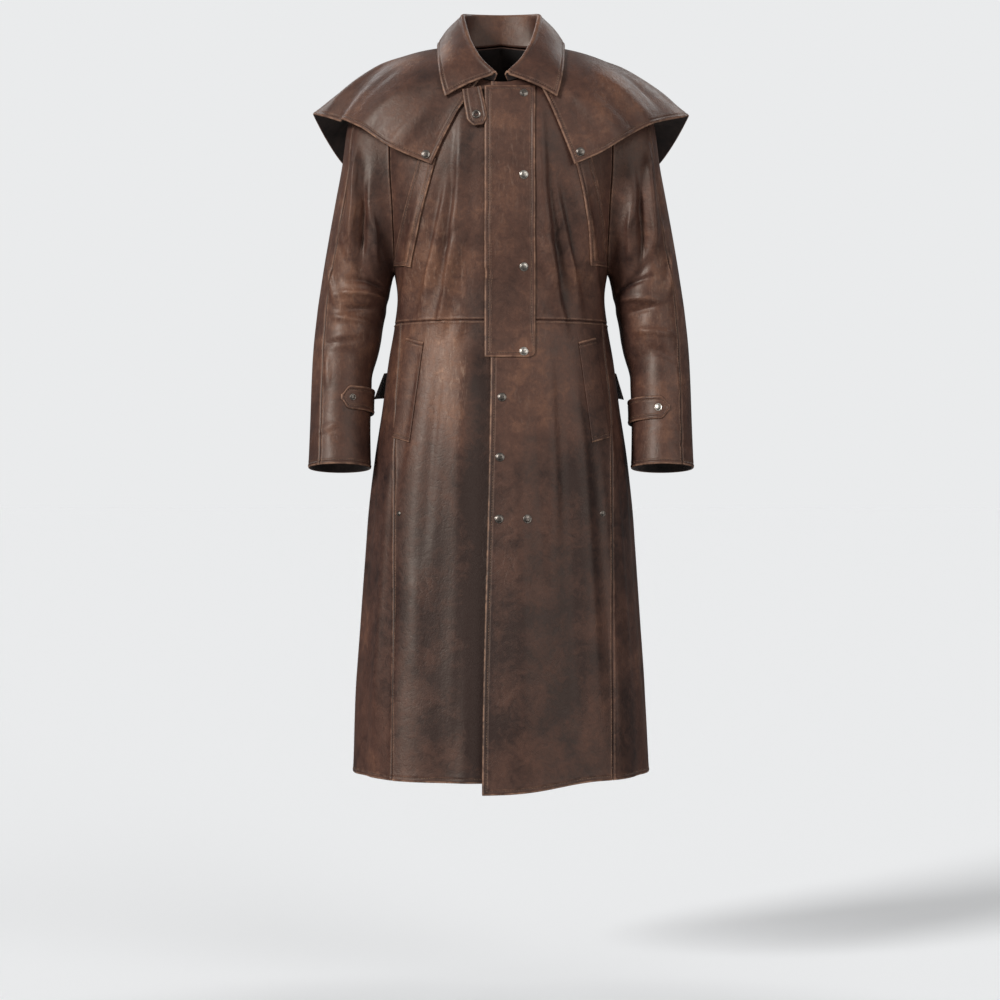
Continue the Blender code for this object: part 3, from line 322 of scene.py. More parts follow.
def lapAt(x):
    return coat["lap"] * (1 - smooth((x - 0.050) / 0.050))


def front(x, z, over=False):  # the front's surface and its way out
    angle = angleAt(x, z)
    points = body(angle, z)
    if over:
        points[..., 1] -= lapAt(points[..., 0])
    return points, bodyOut(angle, z)


# Building a hide panel

shells = {}  # the outer face of each finished panel, for what lies on it
pieces = {}

turnedEdge = {
    "bead": 0.0008,
    "beadAt": 0.0030,
    "beadWide": 0.0019,
    "groove": 0.0006,
    "grooveAt": 0.0062,
    "grooveWide": 0.0009,
    "swell": 0.0003,
    "swellAt": 0.0092,
    "swellWide": 0.0022,
}
sewnEdge = {"dip": 0.0008, "dipWide": 0.0011, "bead": 0.0004, "beadAt": 0.0034, "beadWide": 0.0016}
farFromEdge = 0.05


def addObject(name, mesh):
    mesh.shade_smooth()
    made = bpy.data.objects.new(name, mesh)
    bpy.context.scene.collection.objects.link(made)
    return made


def gridOut(grid):
    return unit(np.cross(np.gradient(grid, axis=1), np.gradient(grid, axis=0)))


def borderDistances(grid):
    down = np.linalg.norm(np.diff(grid, axis=0), axis=-1)
    across = np.linalg.norm(np.diff(grid, axis=1), axis=-1)
    fromTop = np.pad(np.cumsum(down, axis=0), ((1, 0), (0, 0)))
    fromFirst = np.pad(np.cumsum(across, axis=1), ((0, 0), (1, 0)))
    return {
        "top": fromTop,
        "bottom": fromTop[-1] - fromTop,
        "first": fromFirst,
        "last": fromFirst[:, -1:] - fromFirst,
    }


def ridgeAmount(grid, ways):  # how sharply the hide stands up and sinks at each point, 0 flat to 1
    total = np.zeros(grid.shape[:2])
    for axis in (0, 1):
        step = np.linalg.norm(np.gradient(grid, axis=axis), axis=-1)
        bend = np.gradient(np.gradient(grid, axis=axis), axis=axis)
        total = total - (bend * ways).sum(axis=-1) / np.maximum(step, 0.0015) ** 2
    total = blurred(total, 2)
    return smooth((total - 25) / 160), smooth((-total - 15) / 120)


def blurred(values, times):
    for _ in range(times):
        for axis in (0, 1):
            widths = [(1, 1) if k == axis else (0, 0) for k in range(values.ndim)]
            padded = np.pad(values, widths, mode="edge")
            low = np.take(padded, range(values.shape[axis]), axis=axis)
            high = np.take(padded, range(2, values.shape[axis] + 2), axis=axis)
            values = 0.25 * low + 0.5 * values + 0.25 * high
    return values


def makeHide(name, outer, ways, turned=(), sewn=(), thickness=coat["wall"], slot="dark_leather"):
    renamed = {}
    if (gridOut(outer) * ways).sum() < 0:  # ways says which side is out
        outer = outer[:, ::-1]
        renamed = {"first": "last", "last": "first"}
        turned = [renamed.get(border, border) for border in turned]
        sewn = [renamed.get(border, border) for border in sewn]
    ways = gridOut(outer)
    far = borderDistances(outer)
    blank = np.full(outer.shape[:2], farFromEdge)
    edge = np.minimum.reduce([blank] + [far[border] for border in turned])
    seam = np.minimum.reduce([blank] + [far[border] for border in sewn])
    # the second of these darkens the creases in the colour, as painted shade
    crest, hollowShade = ridgeAmount(outer, ways)
    inner = outer - thickness * ways
    lift = turnedEdge["bead"] * bell(edge, turnedEdge["beadAt"], turnedEdge["beadWide"])
    lift = lift - turnedEdge["groove"] * bell(edge, turnedEdge["grooveAt"], turnedEdge["grooveWide"])
    lift = lift + turnedEdge["swell"] * bell(edge, turnedEdge["swellAt"], turnedEdge["swellWide"])
    lift = lift - sewnEdge["dip"] * bell(seam, 0, sewnEdge["dipWide"])
    lift = lift + sewnEdge["bead"] * bell(seam, sewnEdge["beadAt"], sewnEdge["beadWide"])
    outer = outer + lift[..., None] * ways

    rows, columns = outer.shape[:2]
    count = rows * columns
    index = np.arange(count).reshape(rows, columns)
    loop = np.concatenate([index[0, :-1], index[:-1, -1], index[-1, :0:-1], index[:0:-1, 0]])
    inward = np.concatenate([index[1, :-1], index[:-1, -2], index[-2, :0:-1], index[:0:-1, 1]])
    borders = np.repeat(["top", "last", "bottom", "first"], [columns - 1, rows - 1, columns - 1, rows - 1])
    flatOuter, flatInner = outer.reshape(-1, 3), inner.reshape(-1, 3)
    rounded = 0.4 * np.isin(borders, list(turned))[:, None]
    away = unit(flatOuter[loop] - flatOuter[inward]) * rounded
    rim = (flatOuter[loop] + flatInner[loop]) / 2 + away * thickness
    corners = (index[:-1, :-1], index[:-1, 1:], index[1:, 1:], index[1:, :-1])
    quads = np.stack(corners, axis=-1).reshape(-1, 4)
    if (np.cross(outer[0, 1] - outer[0, 0], outer[1, 0] - outer[0, 0]) * ways[0, 0]).sum() < 0:
        quads = quads[:, ::-1]
    here = np.arange(len(loop))
    following = np.roll(here, -1)
    middle, middleNext = 2 * count + here, 2 * count + following
    upper = np.stack([loop, middle, middleNext, loop[following]], axis=-1)
    lower = np.stack([middle, count + loop, count + loop[following], middleNext], axis=-1)
    faces = np.concatenate([quads, count + quads[:, ::-1], upper, lower])
    mesh = bpy.data.meshes.new(f"{name}_hide")
    mesh.from_pydata(np.concatenate([flatOuter, flatInner, rim]).tolist(), [], faces.tolist())
    for tag, values in (("edge", edge), ("seam", seam), ("crest", crest), ("hollowShade", hollowShade)):
        flat = values.reshape(-1)
        values = np.concatenate([flat, flat, flat[loop]])
        mesh.attributes.new(tag, "FLOAT", "POINT").data.foreach_set("value", values)
    mesh.attributes.new("toneAndShade", "FLOAT", "POINT").data.foreach_set("value", toneAndShadeAt(mesh))
    mesh.materials.append(hideMaterial)
    mesh.materials.append(fleshMaterial)
    isInner = np.zeros(len(faces), np.int32)
    isInner[len(quads) : 2 * len(quads)] = 1
    mesh.polygons.foreach_set("material_index", isInner)
    made = addObject(f"{name}_hide", mesh)
    repairNormals(mesh)
    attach(made, "root")
    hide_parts(name)
    shells[name] = BVHTree.FromPolygons(flatOuter.tolist(), quads.tolist())
    pieces[name] = {"object": made, "grid": outer, "ways": ways, "turned": turned, "renamed": renamed}
    column, row = (np.linalg.norm(np.diff(outer, axis=a), axis=-1).sum(axis=a).max() for a in (0, 1))
    cells = np.cross(outer[1:, :-1] - outer[:-1, :-1], outer[:-1, 1:] - outer[:-1, :-1])
    area = np.linalg.norm(cells, axis=-1).sum()
    print(f"{name}: {rows} x {columns} points, row {row:.3f} m, column {column:.3f} m, area {area:.4f} m2")


def repairNormals(mesh):  # the rim's faces turned to agree with the rest
    work = bmesh.new()
    work.from_mesh(mesh)
    bmesh.ops.recalc_face_normals(work, faces=work.faces)
    work.to_mesh(mesh)
    work.free()


toneAndShadeSpots = [  # x, z, reach in x and in z, in millimetres from the front, then lighter or darker: the hide's own zones, with painted shade and a painted sheen among them
    (-157, -28, 40, 22, 0.9), (-89, -14, 12, 34, 1.0), (-200, -80, 60, 30, 0.2),
    (-68, -160, 34, 70, -0.6), (-120, -140, 30, 30, -0.5), (-127, -340, 40, 80, 0.35),
    (-50, -380, 30, 60, 0.30), (18, -100, 22, 30, -0.5), (10, -200, 20, 60, 0.25),
    (24, -330, 26, 60, -0.1), (10, -420, 18, 50, -0.55), (98, -300, 22, 130, -0.75),
    (72, -150, 14, 70, -0.4), (130, -95, 22, 60, -0.4), (210, -80, 50, 40, 0.35),
    # the paler spot left of the front edge is a painted sheen, the long dark one beside the edge painted
    # shade
    (-78, -560, 34, 90, 0.95), (-120, -520, 40, 60, 0.2), (-36, -860, 21, 420, -1.25),
    (-150, -640, 24, 60, 0.3), (-110, -900, 60, 180, -0.70), (-70, -1110, 60, 80, -0.35),
    (-100, -1160, 40, 20, 0.6), (40, -640, 40, 110, 0.30), (140, -740, 50, 130, -0.65),
    (88, -1040, 70, 120, -0.60), (30, -860, 40, 100, -0.25), (150, -480, 40, 60, -0.45),
    # the dark spots at x -205 and 208 mm are painted shade where the sleeves meet the body
    (-250, -430, 40, 130, 0.30), (-205, -235, 26, 140, -0.85), (208, -260, 26, 140, -0.75),
    (-170, -60, 70, 60, -0.35), (255, -400, 35, 120, 0.20), (-225, -600, 30, 60, -0.2),
    (275, -640, 40, 50, 0.25), (-268, -640, 40, 50, 0.25), (-215, -1050, 20, 200, 0.30),
    (222, -1050, 20, 200, 0.30),
]


def toneAndShadeAt(mesh):
    points = np.zeros(len(mesh.vertices) * 3)
    mesh.vertices.foreach_get("co", points)
    x, y, z = points.reshape(-1, 3).T
    toneAndShade = np.zeros(len(x))
    for *spot, amount in toneAndShadeSpots:
        atX, atZ, reachX, reachZ = np.array(spot) / 1000
        toneAndShade = toneAndShade + amount * bell(x, atX, reachX) * bell(z, atZ, reachZ)
    ahead = smooth((0.06 - y) / 0.08)
    # painted shade: darker towards the hem and a little darker over the cape and collar, standing in for less
    # light there
    paintedShadeBelow, paintedShadeAbove = smooth((-0.46 - z) / 0.30), smooth((z + 0.12) / 0.10)
    return toneAndShade * ahead - 0.50 * paintedShadeBelow - 0.15 * paintedShadeAbove


# What lies on other panels

laidGap = 0.0004


def dropped(names, points, ways, reach=0.03):
    rise = np.zeros(points.shape[:-1])
    for place in np.ndindex(points.shape[:-1]):
        start = Vector(points[place] + reach * ways[place])
        hits = [shells[name].ray_cast(start, Vector(-ways[place]), 2 * reach) for name in names]
        depths = [hit[3] for hit in hits if hit[0] is not None]
        rise[place] = reach - min(depths) if depths else np.nan
    known = ~np.isnan(rise)
    before, same, after = slice(0, -2), slice(1, -1), slice(2, None)
    around = [(before, same), (after, same), (same, before), (same, after)]
    while not known.all():  # past the edge of what lies below, the height next to it goes on
        padded = np.pad(np.where(known, rise, 0.0), 1)
        counts = np.pad(known.astype(float), 1)
        total, near = sum(padded[a] for a in around), sum(counts[a] for a in around)
        fresh = ~known & (near > 0)
        rise[fresh] = (total / np.maximum(near, 1))[fresh]
        known = known | fresh
    return rise


def makeLaid(
    name, on, points, ways, turned, slack=0, stiff=6, thickness=coat["trimWall"], slot="trim_leather"
):
    rise = dropped(on, points, ways)
    soft = blurred(rise, stiff)  # stiff hide bridges the small dips below it
    soft = soft + blurred(np.maximum(rise - soft, 0), 1).max()
    outer = points + (soft + laidGap + thickness)[..., None] * ways + slack * ways
    makeHide(name, outer, ways, turned=turned, thickness=thickness, slot=slot)


def cleared(names, points, gap, reach=0.02):  # points moved straight out of the panels below
    moved = points.copy()
    for place in np.ndindex(points.shape[:-1]):
        for name in names:
            spot, normal, _, distance = shells[name].find_nearest(Vector(moved[place]))
            off = Vector(moved[place]) - spot
            height = off.dot(normal)
            beside = abs(height) < 0.8 * distance
            if distance < (gap if height > 0 else 0 if beside else reach):
                moved[place] = spot + gap * (off.normalized() if height > 0 else normal)
    return points + blurred(moved - points, 3)


# Materials. In a Map Range node, inputs 1 to 4 are From Min, From Max, To Min and To Max.

def linear(code):  # sRGB hex to the linear colour that Blender mixes
    parts = [int(code[i : i + 2], 16) / 255 for i in (1, 3, 5)]
    return tuple(p / 12.92 if p <= 0.04045 else ((p + 0.055) / 1.055) ** 2.4 for p in parts) + (1.0,)


def addNode(tree, kind, inputs=None, **settings):  # an input takes a value or another node's output
    made = tree.nodes.new(kind)
    for key, value in settings.items():
        setattr(made, key, value)
    for key, value in (inputs or {}).items():
        if isinstance(value, bpy.types.NodeSocket):
            tree.links.new(value, made.inputs[key])
        else:
            made.inputs[key].default_value = value
    return made


def newMaterial(name):
    made = bpy.data.materials.new(name)
    made.use_nodes = True
    made.node_tree.nodes.clear()
    return made, made.node_tree


def setStops(ramp, stops):
    while len(ramp.elements) < len(stops):
        ramp.elements.new(1.0)
    for element, (place, code) in zip(ramp.elements, stops):
        element.position = place
        element.color = linear(code)


hide = {
    "dark": "#291b19",  # plum brown where the wax lies thick; painted shade darkens towards it too
    "plain": "#4a3027",
    "warm": "#674534",
    "rubbed": "#a07a62",  # pulled and rubbed hide, where the wax has moved off; a painted sheen lightens towards it too
    "scuffed": "#9c8371",
    # painted shade, laid in the stitch grooves and along the seam lines
    "groove": "#1c1413",
    "roughness": 0.51,
    "blotch": (1 / 0.075, 3, 0.55, 0.4),  # scale per metre, detail, roughness, distortion
    "mottle": (1 / 0.016, 5, 0.62, 0.8),
    "speck": (1 / 0.0045, 3, 0.60, 0.0),
    "fold": (85, 4, 0.60, 2.2),
    "scuff": (150, 6, 0.70, 0.6),
    "grain": 1 / 0.0028,
    "crackle": 75,
}


def makeLeather(name):
    # Waxed full-grain cowhide, drum dyed and then rubbed by hand: mottled, glossy where it is waxed,
    # paler and drier on every ridge and turned edge. The grain is drawn at 2.8 mm, coarser than the
    # real 0.6 mm pores, so that it shows.
    made, tree = newMaterial(name)
    place = addNode(tree, "ShaderNodeTexCoord").outputs["Object"]
    slanted = {"Vector": place, "Rotation": (0.3, 0.7, 0), "Scale": (1.5, 1, 0.32)}
    slanted = addNode(tree, "ShaderNodeMapping", slanted).outputs["Vector"]
    clouds = {}
    for key in ("blotch", "mottle", "speck", "fold", "scuff"):
        inputs = dict(zip(("Scale", "Detail", "Roughness", "Distortion"), hide[key]))
        inputs["Vector"] = slanted if key == "scuff" else place
        clouds[key] = addNode(tree, "ShaderNodeTexNoise", inputs)
    blotch, mottle, speck, fold, scuff = (cloud.outputs["Fac"] for cloud in clouds.values())
    toneAndShade, edge, seam, crest, hollowShade = (
        addNode(tree, "ShaderNodeAttribute", attribute_name=tag).outputs["Fac"]
        for tag in ("toneAndShade", "edge", "seam", "crest", "hollowShade")
    )

    def weighted(total, parts):  # a sum of outputs, each times its weight, kept between 0 and 1
        for output, weight in parts:
            inputs = {0: output, 1: weight, 2: total}
            added = addNode(tree, "ShaderNodeMath", inputs, operation="MULTIPLY_ADD")
            total = added.outputs[0]
        added.use_clamp = True
        return total

    def line(distance, centre, half):  # 1 at a distance from an edge, 0 beyond half of it either way
        off = addNode(tree, "ShaderNodeMath", {0: distance, 1: centre}, operation="SUBTRACT").outputs[0]
        off = addNode(tree, "ShaderNodeMath", {0: off}, operation="ABSOLUTE").outputs[0]
        return addNode(tree, "ShaderNodeMapRange", {0: off, 1: 0.0, 2: half, 3: 1.0, 4: 0.0}).outputs[0]

    def painted(below, code, amount):
        inputs = {"A": below, "B": linear(code), "Factor": amount}
        return addNode(tree, "ShaderNodeMix", inputs, data_type="RGBA").outputs["Result"]

    # the per-point tone mixes the hide's own zones with painted shade and a painted sheen; the crease term
    # darkens creases as painted shade
    shades = [(blotch, 0.85), (mottle, 0.55), (speck, 0.25), (toneAndShade, 0.30), (crest, 0.16), (hollowShade, -0.14)]
    middle = 0.46 - 0.5 * (0.85 + 0.55 + 0.25)  # noise runs about a half
    base = addNode(tree, "ShaderNodeValToRGB", {"Fac": weighted(middle, shades)})
    stops = [(0.10, "dark"), (0.46, "plain"), (0.74, "warm"), (1.0, "rubbed")]
    setStops(base.color_ramp, [(at, hide[key]) for at, key in stops])
    edges = [(line(edge, 0.0006, 0.0020), 0.80), (line(edge, 0.0080, 0.0014), 0.20)]
    rub = weighted(0.0, [*edges, (line(seam, 0.0032, 0.0016), 0.42), (crest, 0.16)])
    patchy = addNode(tree, "ShaderNodeMapRange", {0: mottle, 1: 0.40, 2: 0.6778, 3: 0.18, 4: 1.0}).outputs[0]
    rub = weighted(0.0, [(rub, patchy)])
    scuffs = addNode(tree, "ShaderNodeMapRange", {0: scuff, 1: 0.54, 2: 0.74, 3: 0.0, 4: 1.0}).outputs[0]
    scuffs = weighted(0.0, [(scuffs, weighted(0.12, [(toneAndShade, 0.80)]))])
    # painted shade: the stitch groove and the seam lines darkened with the groove colour
    groove = weighted(line(edge, 0.0060, 0.0010), [(line(seam, 0.0, 0.0012), 0.5)])
    colour = painted(base.outputs["Color"], hide["rubbed"], rub)
    colour = painted(colour, hide["scuffed"], scuffs)
    colour = painted(colour, hide["groove"], weighted(0.0, [(groove, 0.75)]))
    rough = weighted(hide["roughness"] - 0.5 * 0.35, [(mottle, 0.35), (rub, 0.14), (scuffs, 0.15)])

    pores = {"Vector": place, "Scale": hide["grain"], "Randomness": 1.0}
    grain = addNode(tree, "ShaderNodeTexVoronoi", pores, feature="SMOOTH_F1").outputs["Distance"]
    tipped = {"Vector": place, "Rotation": (0.2, 0.5, 0.4), "Scale": (1, 1, 0.55)}
    tipped = addNode(tree, "ShaderNodeMapping", tipped).outputs["Vector"]
    bent = {0: clouds["fold"].outputs["Color"], 1: (0.012, 0.012, 0.012), 2: tipped}
    bent = addNode(tree, "ShaderNodeVectorMath", bent, operation="MULTIPLY_ADD")
    cells = {"Vector": bent.outputs["Vector"], "Scale": hide["crackle"], "Randomness": 1.0}
    crackle = addNode(tree, "ShaderNodeTexVoronoi", cells, feature="DISTANCE_TO_EDGE").outputs["Distance"]
    shallow = {0: crackle, 1: 0.0, 2: 0.16, 3: 0.0, 4: 1.0}
    shallow = addNode(tree, "ShaderNodeMapRange", shallow, interpolation_type="SMOOTHSTEP").outputs[0]
    fades = addNode(tree, "ShaderNodeMapRange", {0: blotch, 1: 0.36, 2: 0.6725, 3: 0.0, 4: 0.22}).outputs[0]
    normal = {}
    for height, strength, distance in (
        (grain, 0.16, 0.0006),
        (fold, 0.17, 0.0012),
        (mottle, 0.26, 0.0022),
        (shallow, fades, 0.0011),
    ):
        inputs = {"Height": height, "Strength": strength, "Distance": distance, **normal}
        normal = {"Normal": addNode(tree, "ShaderNodeBump", inputs).outputs["Normal"]}
    finish = {"IOR": 1.46, "Specular Tint": (1, 0.84, 0.70, 1), "Coat Weight": 0.05, "Coat Roughness": 0.30}
    inputs = {**finish, **normal, "Base Color": colour, "Roughness": rough}
    shader = addNode(tree, "ShaderNodeBsdfPrincipled", inputs)
    addNode(tree, "ShaderNodeOutputMaterial", {"Surface": shader.outputs["BSDF"]})
    return made


def makePlain(name, cloud, stops, nap, relief, finish, dulled=None):  # clouded colour over a fine bump
    made, tree = newMaterial(name)
    place = addNode(tree, "ShaderNodeTexCoord").outputs["Object"]
    noises = []
    for scale, detail, rough in (cloud, nap):
        inputs = {"Vector": place, "Scale": scale, "Detail": detail, "Roughness": rough}
        noises.append(addNode(tree, "ShaderNodeTexNoise", inputs).outputs["Fac"])
    cloud, nap = noises
    colour = addNode(tree, "ShaderNodeValToRGB", {"Fac": cloud})
    setStops(colour.color_ramp, stops)
    rise = addNode(tree, "ShaderNodeBump", {"Height": nap, "Strength": relief[0], "Distance": relief[1]})
    inputs = {**finish, "Base Color": colour.outputs["Color"], "Normal": rise.outputs["Normal"]}
    if dulled:
        dull = {0: cloud, 1: 0.3, 2: 0.7, 3: dulled[0], 4: dulled[1]}
        inputs["Roughness"] = addNode(tree, "ShaderNodeMapRange", dull).outputs[0]
    shader = addNode(tree, "ShaderNodeBsdfPrincipled", inputs)
    addNode(tree, "ShaderNodeOutputMaterial", {"Surface": shader.outputs["BSDF"]})
    return made


hideMaterial = makeLeather("waxed_cowhide")

# The flesh side of the same hide, shaved and left matt: soft, dark and slightly fibrous.
stops = [(0.32, "#1d1614"), (0.55, "#31241f"), (0.75, "#40302a")]
finish = {"Roughness": 0.92, "Sheen Weight": 0.15, "Sheen Roughness": 0.5}
fleshMaterial = makePlain("cowhide_flesh_side", (28, 6, 0.65), stops, (480, 3, 0.6), (0.4, 0.0006), finish)

# Bonded nylon thread, extruded, twisted and waxed: a slight sheen, a shade paler than the hide.
stops, finish = [(0.35, "#46332a"), (0.65, "#86664f")], {"Roughness": 0.55}
threadMaterial = makePlain("waxed_nylon_thread", (60, 3, 0.5), stops, (1500, 1, 0.5), (0.3, 0.0002), finish)

# Brass caps pressed in a die, nickel plated and tumbled: soft shine, dull spots where it has aged.
# Two copies of the plate, a brighter and a darker, given snap by snap.
brightNickel, darkNickel = (
    makePlain(name, (260, 5, 0.65), stops, (900, 2, 0.5), (0.12, 0.0002), {"Metallic": 1.0}, dulled)
    for name, stops, dulled in (
        ("tumbled_nickel_plate", [(0.38, "#8d857c"), (0.62, "#cfc8be")], (0.44, 0.24)),
        ("darker_nickel_plate", [(0.38, "#4a4440"), (0.62, "#8a827a")], (0.48, 0.28)),
    )
)
print("materials ready")


# Bodice

def armholeAngle(z, back):
    up = np.clip((z - coat["armpitZ"]) / (coat["tipZ"] - coat["armpitZ"]), 0, 1)
    cut = np.sin(np.pi * up) ** 0.40
    return np.pi / 2 + np.where(back, coat["armholeBack"], -coat["armholeFront"]) * cut


def armholeZ(turn):
    return coat["armpitZ"] + (coat["tipZ"] - coat["armpitZ"]) * (1 + np.cos(turn)) / 2


def armholeEdge(turn):
    return body(armholeAngle(armholeZ(turn), np.sin(turn) > 0), armholeZ(turn))


def neckline(turn, back):
    height = coat["backNeckRise"] * (1 - np.sin(turn)) if back else -coat["frontNeckDrop"] * np.cos(turn)
    return coat["neckHalf"] * np.sin(turn), height


def bodiceHalf(side, startX, back, over=False):
    tipX, tipZ, waistZ = coat["tipX"], coat["tipZ"], coat["waistZ"]
    turn = np.linspace(math.asin(startX / coat["neckHalf"]), math.pi / 2, 30)
    neckX, neckZ = neckline(turn, back)
    shoulderX = coat["neckHalf"] + (tipX - coat["neckHalf"]) * fineSteps(0.125, 0.006, first=False)[1:]
    topX = np.concatenate([neckX, shoulderX])
    topZ = np.concatenate([neckZ, shoulderZ(shoulderX)])
    armpitRow = (coat["armpitZ"] - waistZ) / (tipZ - waistZ)
    low = fineSteps(0.083, 0.0055, last=False)[:-1] * armpitRow
    high = armpitRow + (1 - armpitRow) * (1 - np.cos(np.pi * np.linspace(0, 1, 60))) / 2
    rise = np.concatenate([low, high])
    share = (topX - startX) / (tipX - startX)
    bottom = waistZ + coat["seamGap"] / 2
    z = bottom + (topZ - bottom) * rise[:, None]
    start = angleAt(startX, z[:, :1])
    lowAngle = start + (np.pi / 2 - start) * share
    angle = lowAngle + (angleAt(topX, topZ) - lowAngle) * rise[:, None] ** 6
    edge = armholeAngle(z[:, -1:], back)
    edge = np.pi - edge if back else edge
    angle = angle + (edge - angle[:, -1:]) * share**2
    angle = np.pi - angle if back else angle
    grid = body(angle, z)
    grid[-1] = body(angleAt(topX, topZ, back), topZ)
    shoulder = slice(len(turn) - 1, None)
    grid[-1, shoulder, 0], grid[-1, shoulder, 1] = topX[shoulder], 0.0
    grid[..., 1] += coat["seamGap"] / 2 if back else -coat["seamGap"] / 2
    if over:
        grid[..., 1] -= lapAt(grid[..., 0])
    return mirrored(grid, side), mirrored(bodyOut(angle, z), side)


grid, ways = bodiceHalf(-1, -coat["underEdgeX"], back=False)
makeHide("bodice_right_front", grid, ways, turned=["first"], sewn=["top", "last"])
grid, ways = bodiceHalf(1, coat["overEdgeTopX"], back=False, over=True)
makeHide("bodice_left_front", grid, ways, turned=["first"], sewn=["top", "last"])
half = bodiceHalf(1, 0.0, back=True)
whole = [np.concatenate([mirrored(part[:, :0:-1], -1), part], axis=1) for part in half]
makeHide("bodice_back", *whole, sewn=["top", "first", "last"])
print("bodice ready")


# Skirt

def overEdgeX(z):
    down = smooth((coat["waistZ"] - z) / (coat["waistZ"] - coat["overHemZ"]))
    return coat["overEdgeTopX"] + (coat["overEdgeHemX"] - coat["overEdgeTopX"]) * down


def sideFrontSeam(side, z):
    atWaist, lower = coat["sideSeamX"][side]
    return side * angleAt(atWaist + (lower - atWaist) * smooth((coat["waistZ"] - z) / 0.18), z)


def hemZ(angle):
    return coat["hemZ"] + coat["hemRise"] * np.sin(angle) ** 2


def overHemZ(angle):
    return hemZ(angle) + (coat["overHemZ"] - coat["hemZ"]) * (1 - smooth((angle + 0.1) / 0.75))


fallBack = {"depth": 0.0095, "fromX": -0.066, "over": 0.040, "fromZ": -0.475}  # the under front, behind


def skirtPanel(firstSeam, lastSeam, width, hem, over, under):
    share = fineSteps(width, 0.0055)
    top = coat["waistZ"] - coat["seamGap"] / 2
    down = fineSteps(0.75, 0.0065)[:, None]
    level = top + (coat["hemZ"] - top) * down
    half = coat["seamGap"] / 2 / 0.23  # as an angle at the hem's radius
    first, last = firstSeam(level) + half, lastSeam(level) - half
    angle = first + (last - first) * share
    z = top + (hem(angle) - top) * down
    points = body(angle, z)
    if over:
        points[..., 1] -= lapAt(points[..., 0])
    if under:
        beside = smooth((points[..., 0] - fallBack["fromX"]) / fallBack["over"])
        points[..., 1] += fallBack["depth"] * beside * smooth((fallBack["fromZ"] - z) / 0.10)
    return points, bodyOut(angle, z)


seams = {
    "rightBack": lambda z: math.radians(-122) + 0 * z,
    "right": lambda z: sideFrontSeam(-1, z),
    "underEdge": lambda z: angleAt(coat["underEdgeX"], z),
    "overEdge": lambda z: angleAt(overEdgeX(z), z),
    "left": lambda z: sideFrontSeam(1, z),
    "leftBack": lambda z: math.radians(122) + 0 * z,
    "rightBackAgain": lambda z: math.radians(238) + 0 * z,
}
panels = {  # first and last seam, width, what is turned and what is sewn
    "skirt_right_front": ("right", "underEdge", 0.215, ["last", "bottom"], ["top", "first"]),
    "skirt_left_front": ("overEdge", "left", 0.215, ["first", "bottom"], ["top", "last"]),
    "skirt_right_side": ("rightBack", "right", 0.23, ["bottom"], ["top", "first", "last"]),
    "skirt_left_side": ("left", "leftBack", 0.23, ["bottom"], ["top", "first", "last"]),
    "skirt_back": ("leftBack", "rightBackAgain", 0.46, ["bottom"], ["top", "first", "last"]),
}
for name, (first, last, width, turned, sewn) in panels.items():
    over, under = name == "skirt_left_front", name == "skirt_right_front"
    grid, ways = skirtPanel(seams[first], seams[last], width, overHemZ if over else hemZ, over, under)
    makeHide(name, grid, ways, turned=turned, sewn=sewn)
print("skirt ready")


# Sleeves

sleeveRings = [  # way down, outer x, outer z, inner x, inner z, middle y, half depth, pitch
    (0.00, 0.2000, -0.037, 0.1770, -0.375, 0.000, 0.088, 0.00),
    (0.04, 0.2290, -0.059, 0.1784, -0.377, 0.000, 0.085, 0.00),
    (0.09, 0.2480, -0.093, 0.1796, -0.380, 0.000, 0.083, 0.00),
    (0.15, 0.2570, -0.137, 0.1808, -0.384, 0.000, 0.082, 0.00),
    (0.23, 0.2640, -0.190, 0.1820, -0.389, 0.002, 0.080, 0.00),
    (0.32, 0.2750, -0.250, 0.1835, -0.395, 0.004, 0.078, 0.00),
    (0.42, 0.2865, -0.312, 0.1855, -0.405, 0.006, 0.075, 0.02),
    (0.52, 0.2980, -0.380, 0.1890, -0.425, 0.008, 0.072, 0.04),
    (0.61, 0.3065, -0.440, 0.1945, -0.458, 0.006, 0.069, 0.06),
    (0.70, 0.3125, -0.500, 0.2030, -0.502, 0.000, 0.066, 0.09),
    (0.79, 0.3150, -0.556, 0.2145, -0.554, -0.010, 0.062, 0.12),
    (0.89, 0.3165, -0.625, 0.2165, -0.625, -0.024, 0.058, 0.13),
    (1.00, 0.3185, -0.697, 0.2150, -0.697, -0.040, 0.056, 0.13),
]
sleeveFolds = [  # way down, degrees round, slant, width, reach in degrees, rise
    (0.46, -120, -0.03, 0.026, 55, -0.004),
    (0.53, -110, 0.04, 0.030, 60, 0.003),
    (0.60, -125, -0.03, 0.030, 55, -0.004),
    (0.67, -95, 0.04, 0.028, 55, 0.003),
    (0.74, -130, -0.03, 0.026, 50, -0.004),
    (0.50, 120, 0.03, 0.028, 60, -0.004),
    (0.64, 110, -0.04, 0.028, 60, -0.004),
]
sleeveSeamOuter = [(0.0, -22.5), (0.15, -38), (0.4, -46), (0.6, -46), (0.76, -53), (1.0, -54)]


def sleeveSwell(side, t, turn):
    degrees = turnedHalfway(np.degrees(turn))
    rise = np.zeros(np.broadcast(t, turn).shape)
    for at, around, slant, width, reach, height in sleeveFolds:
        off = turnedHalfway(degrees - around)
        rise = rise + height * bell(t, at + slant * off / 60, width) * bell(off, 0, reach)
    strokes = creases["sleeveRight" if side < 0 else "sleeveLeft"]
    rise = rise + strokeRise(strokes, degrees * math.radians(0.075), t * 0.8)
    return 1 + rise / 0.06


def sleeveEdge(turn):
    z = armholeZ(turn)
    out = bodyOut(armholeAngle(z, np.sin(turn) > 0), z)
    out = np.where(np.abs(turn[..., None]) < 0.02, np.array([0.6, 0, 0.8]), out)
    along = armholeEdge(turn + 0.3) - armholeEdge(turn - 0.3)
    return armholeEdge(turn) + 0.0005 * unit(np.cross(along, out))


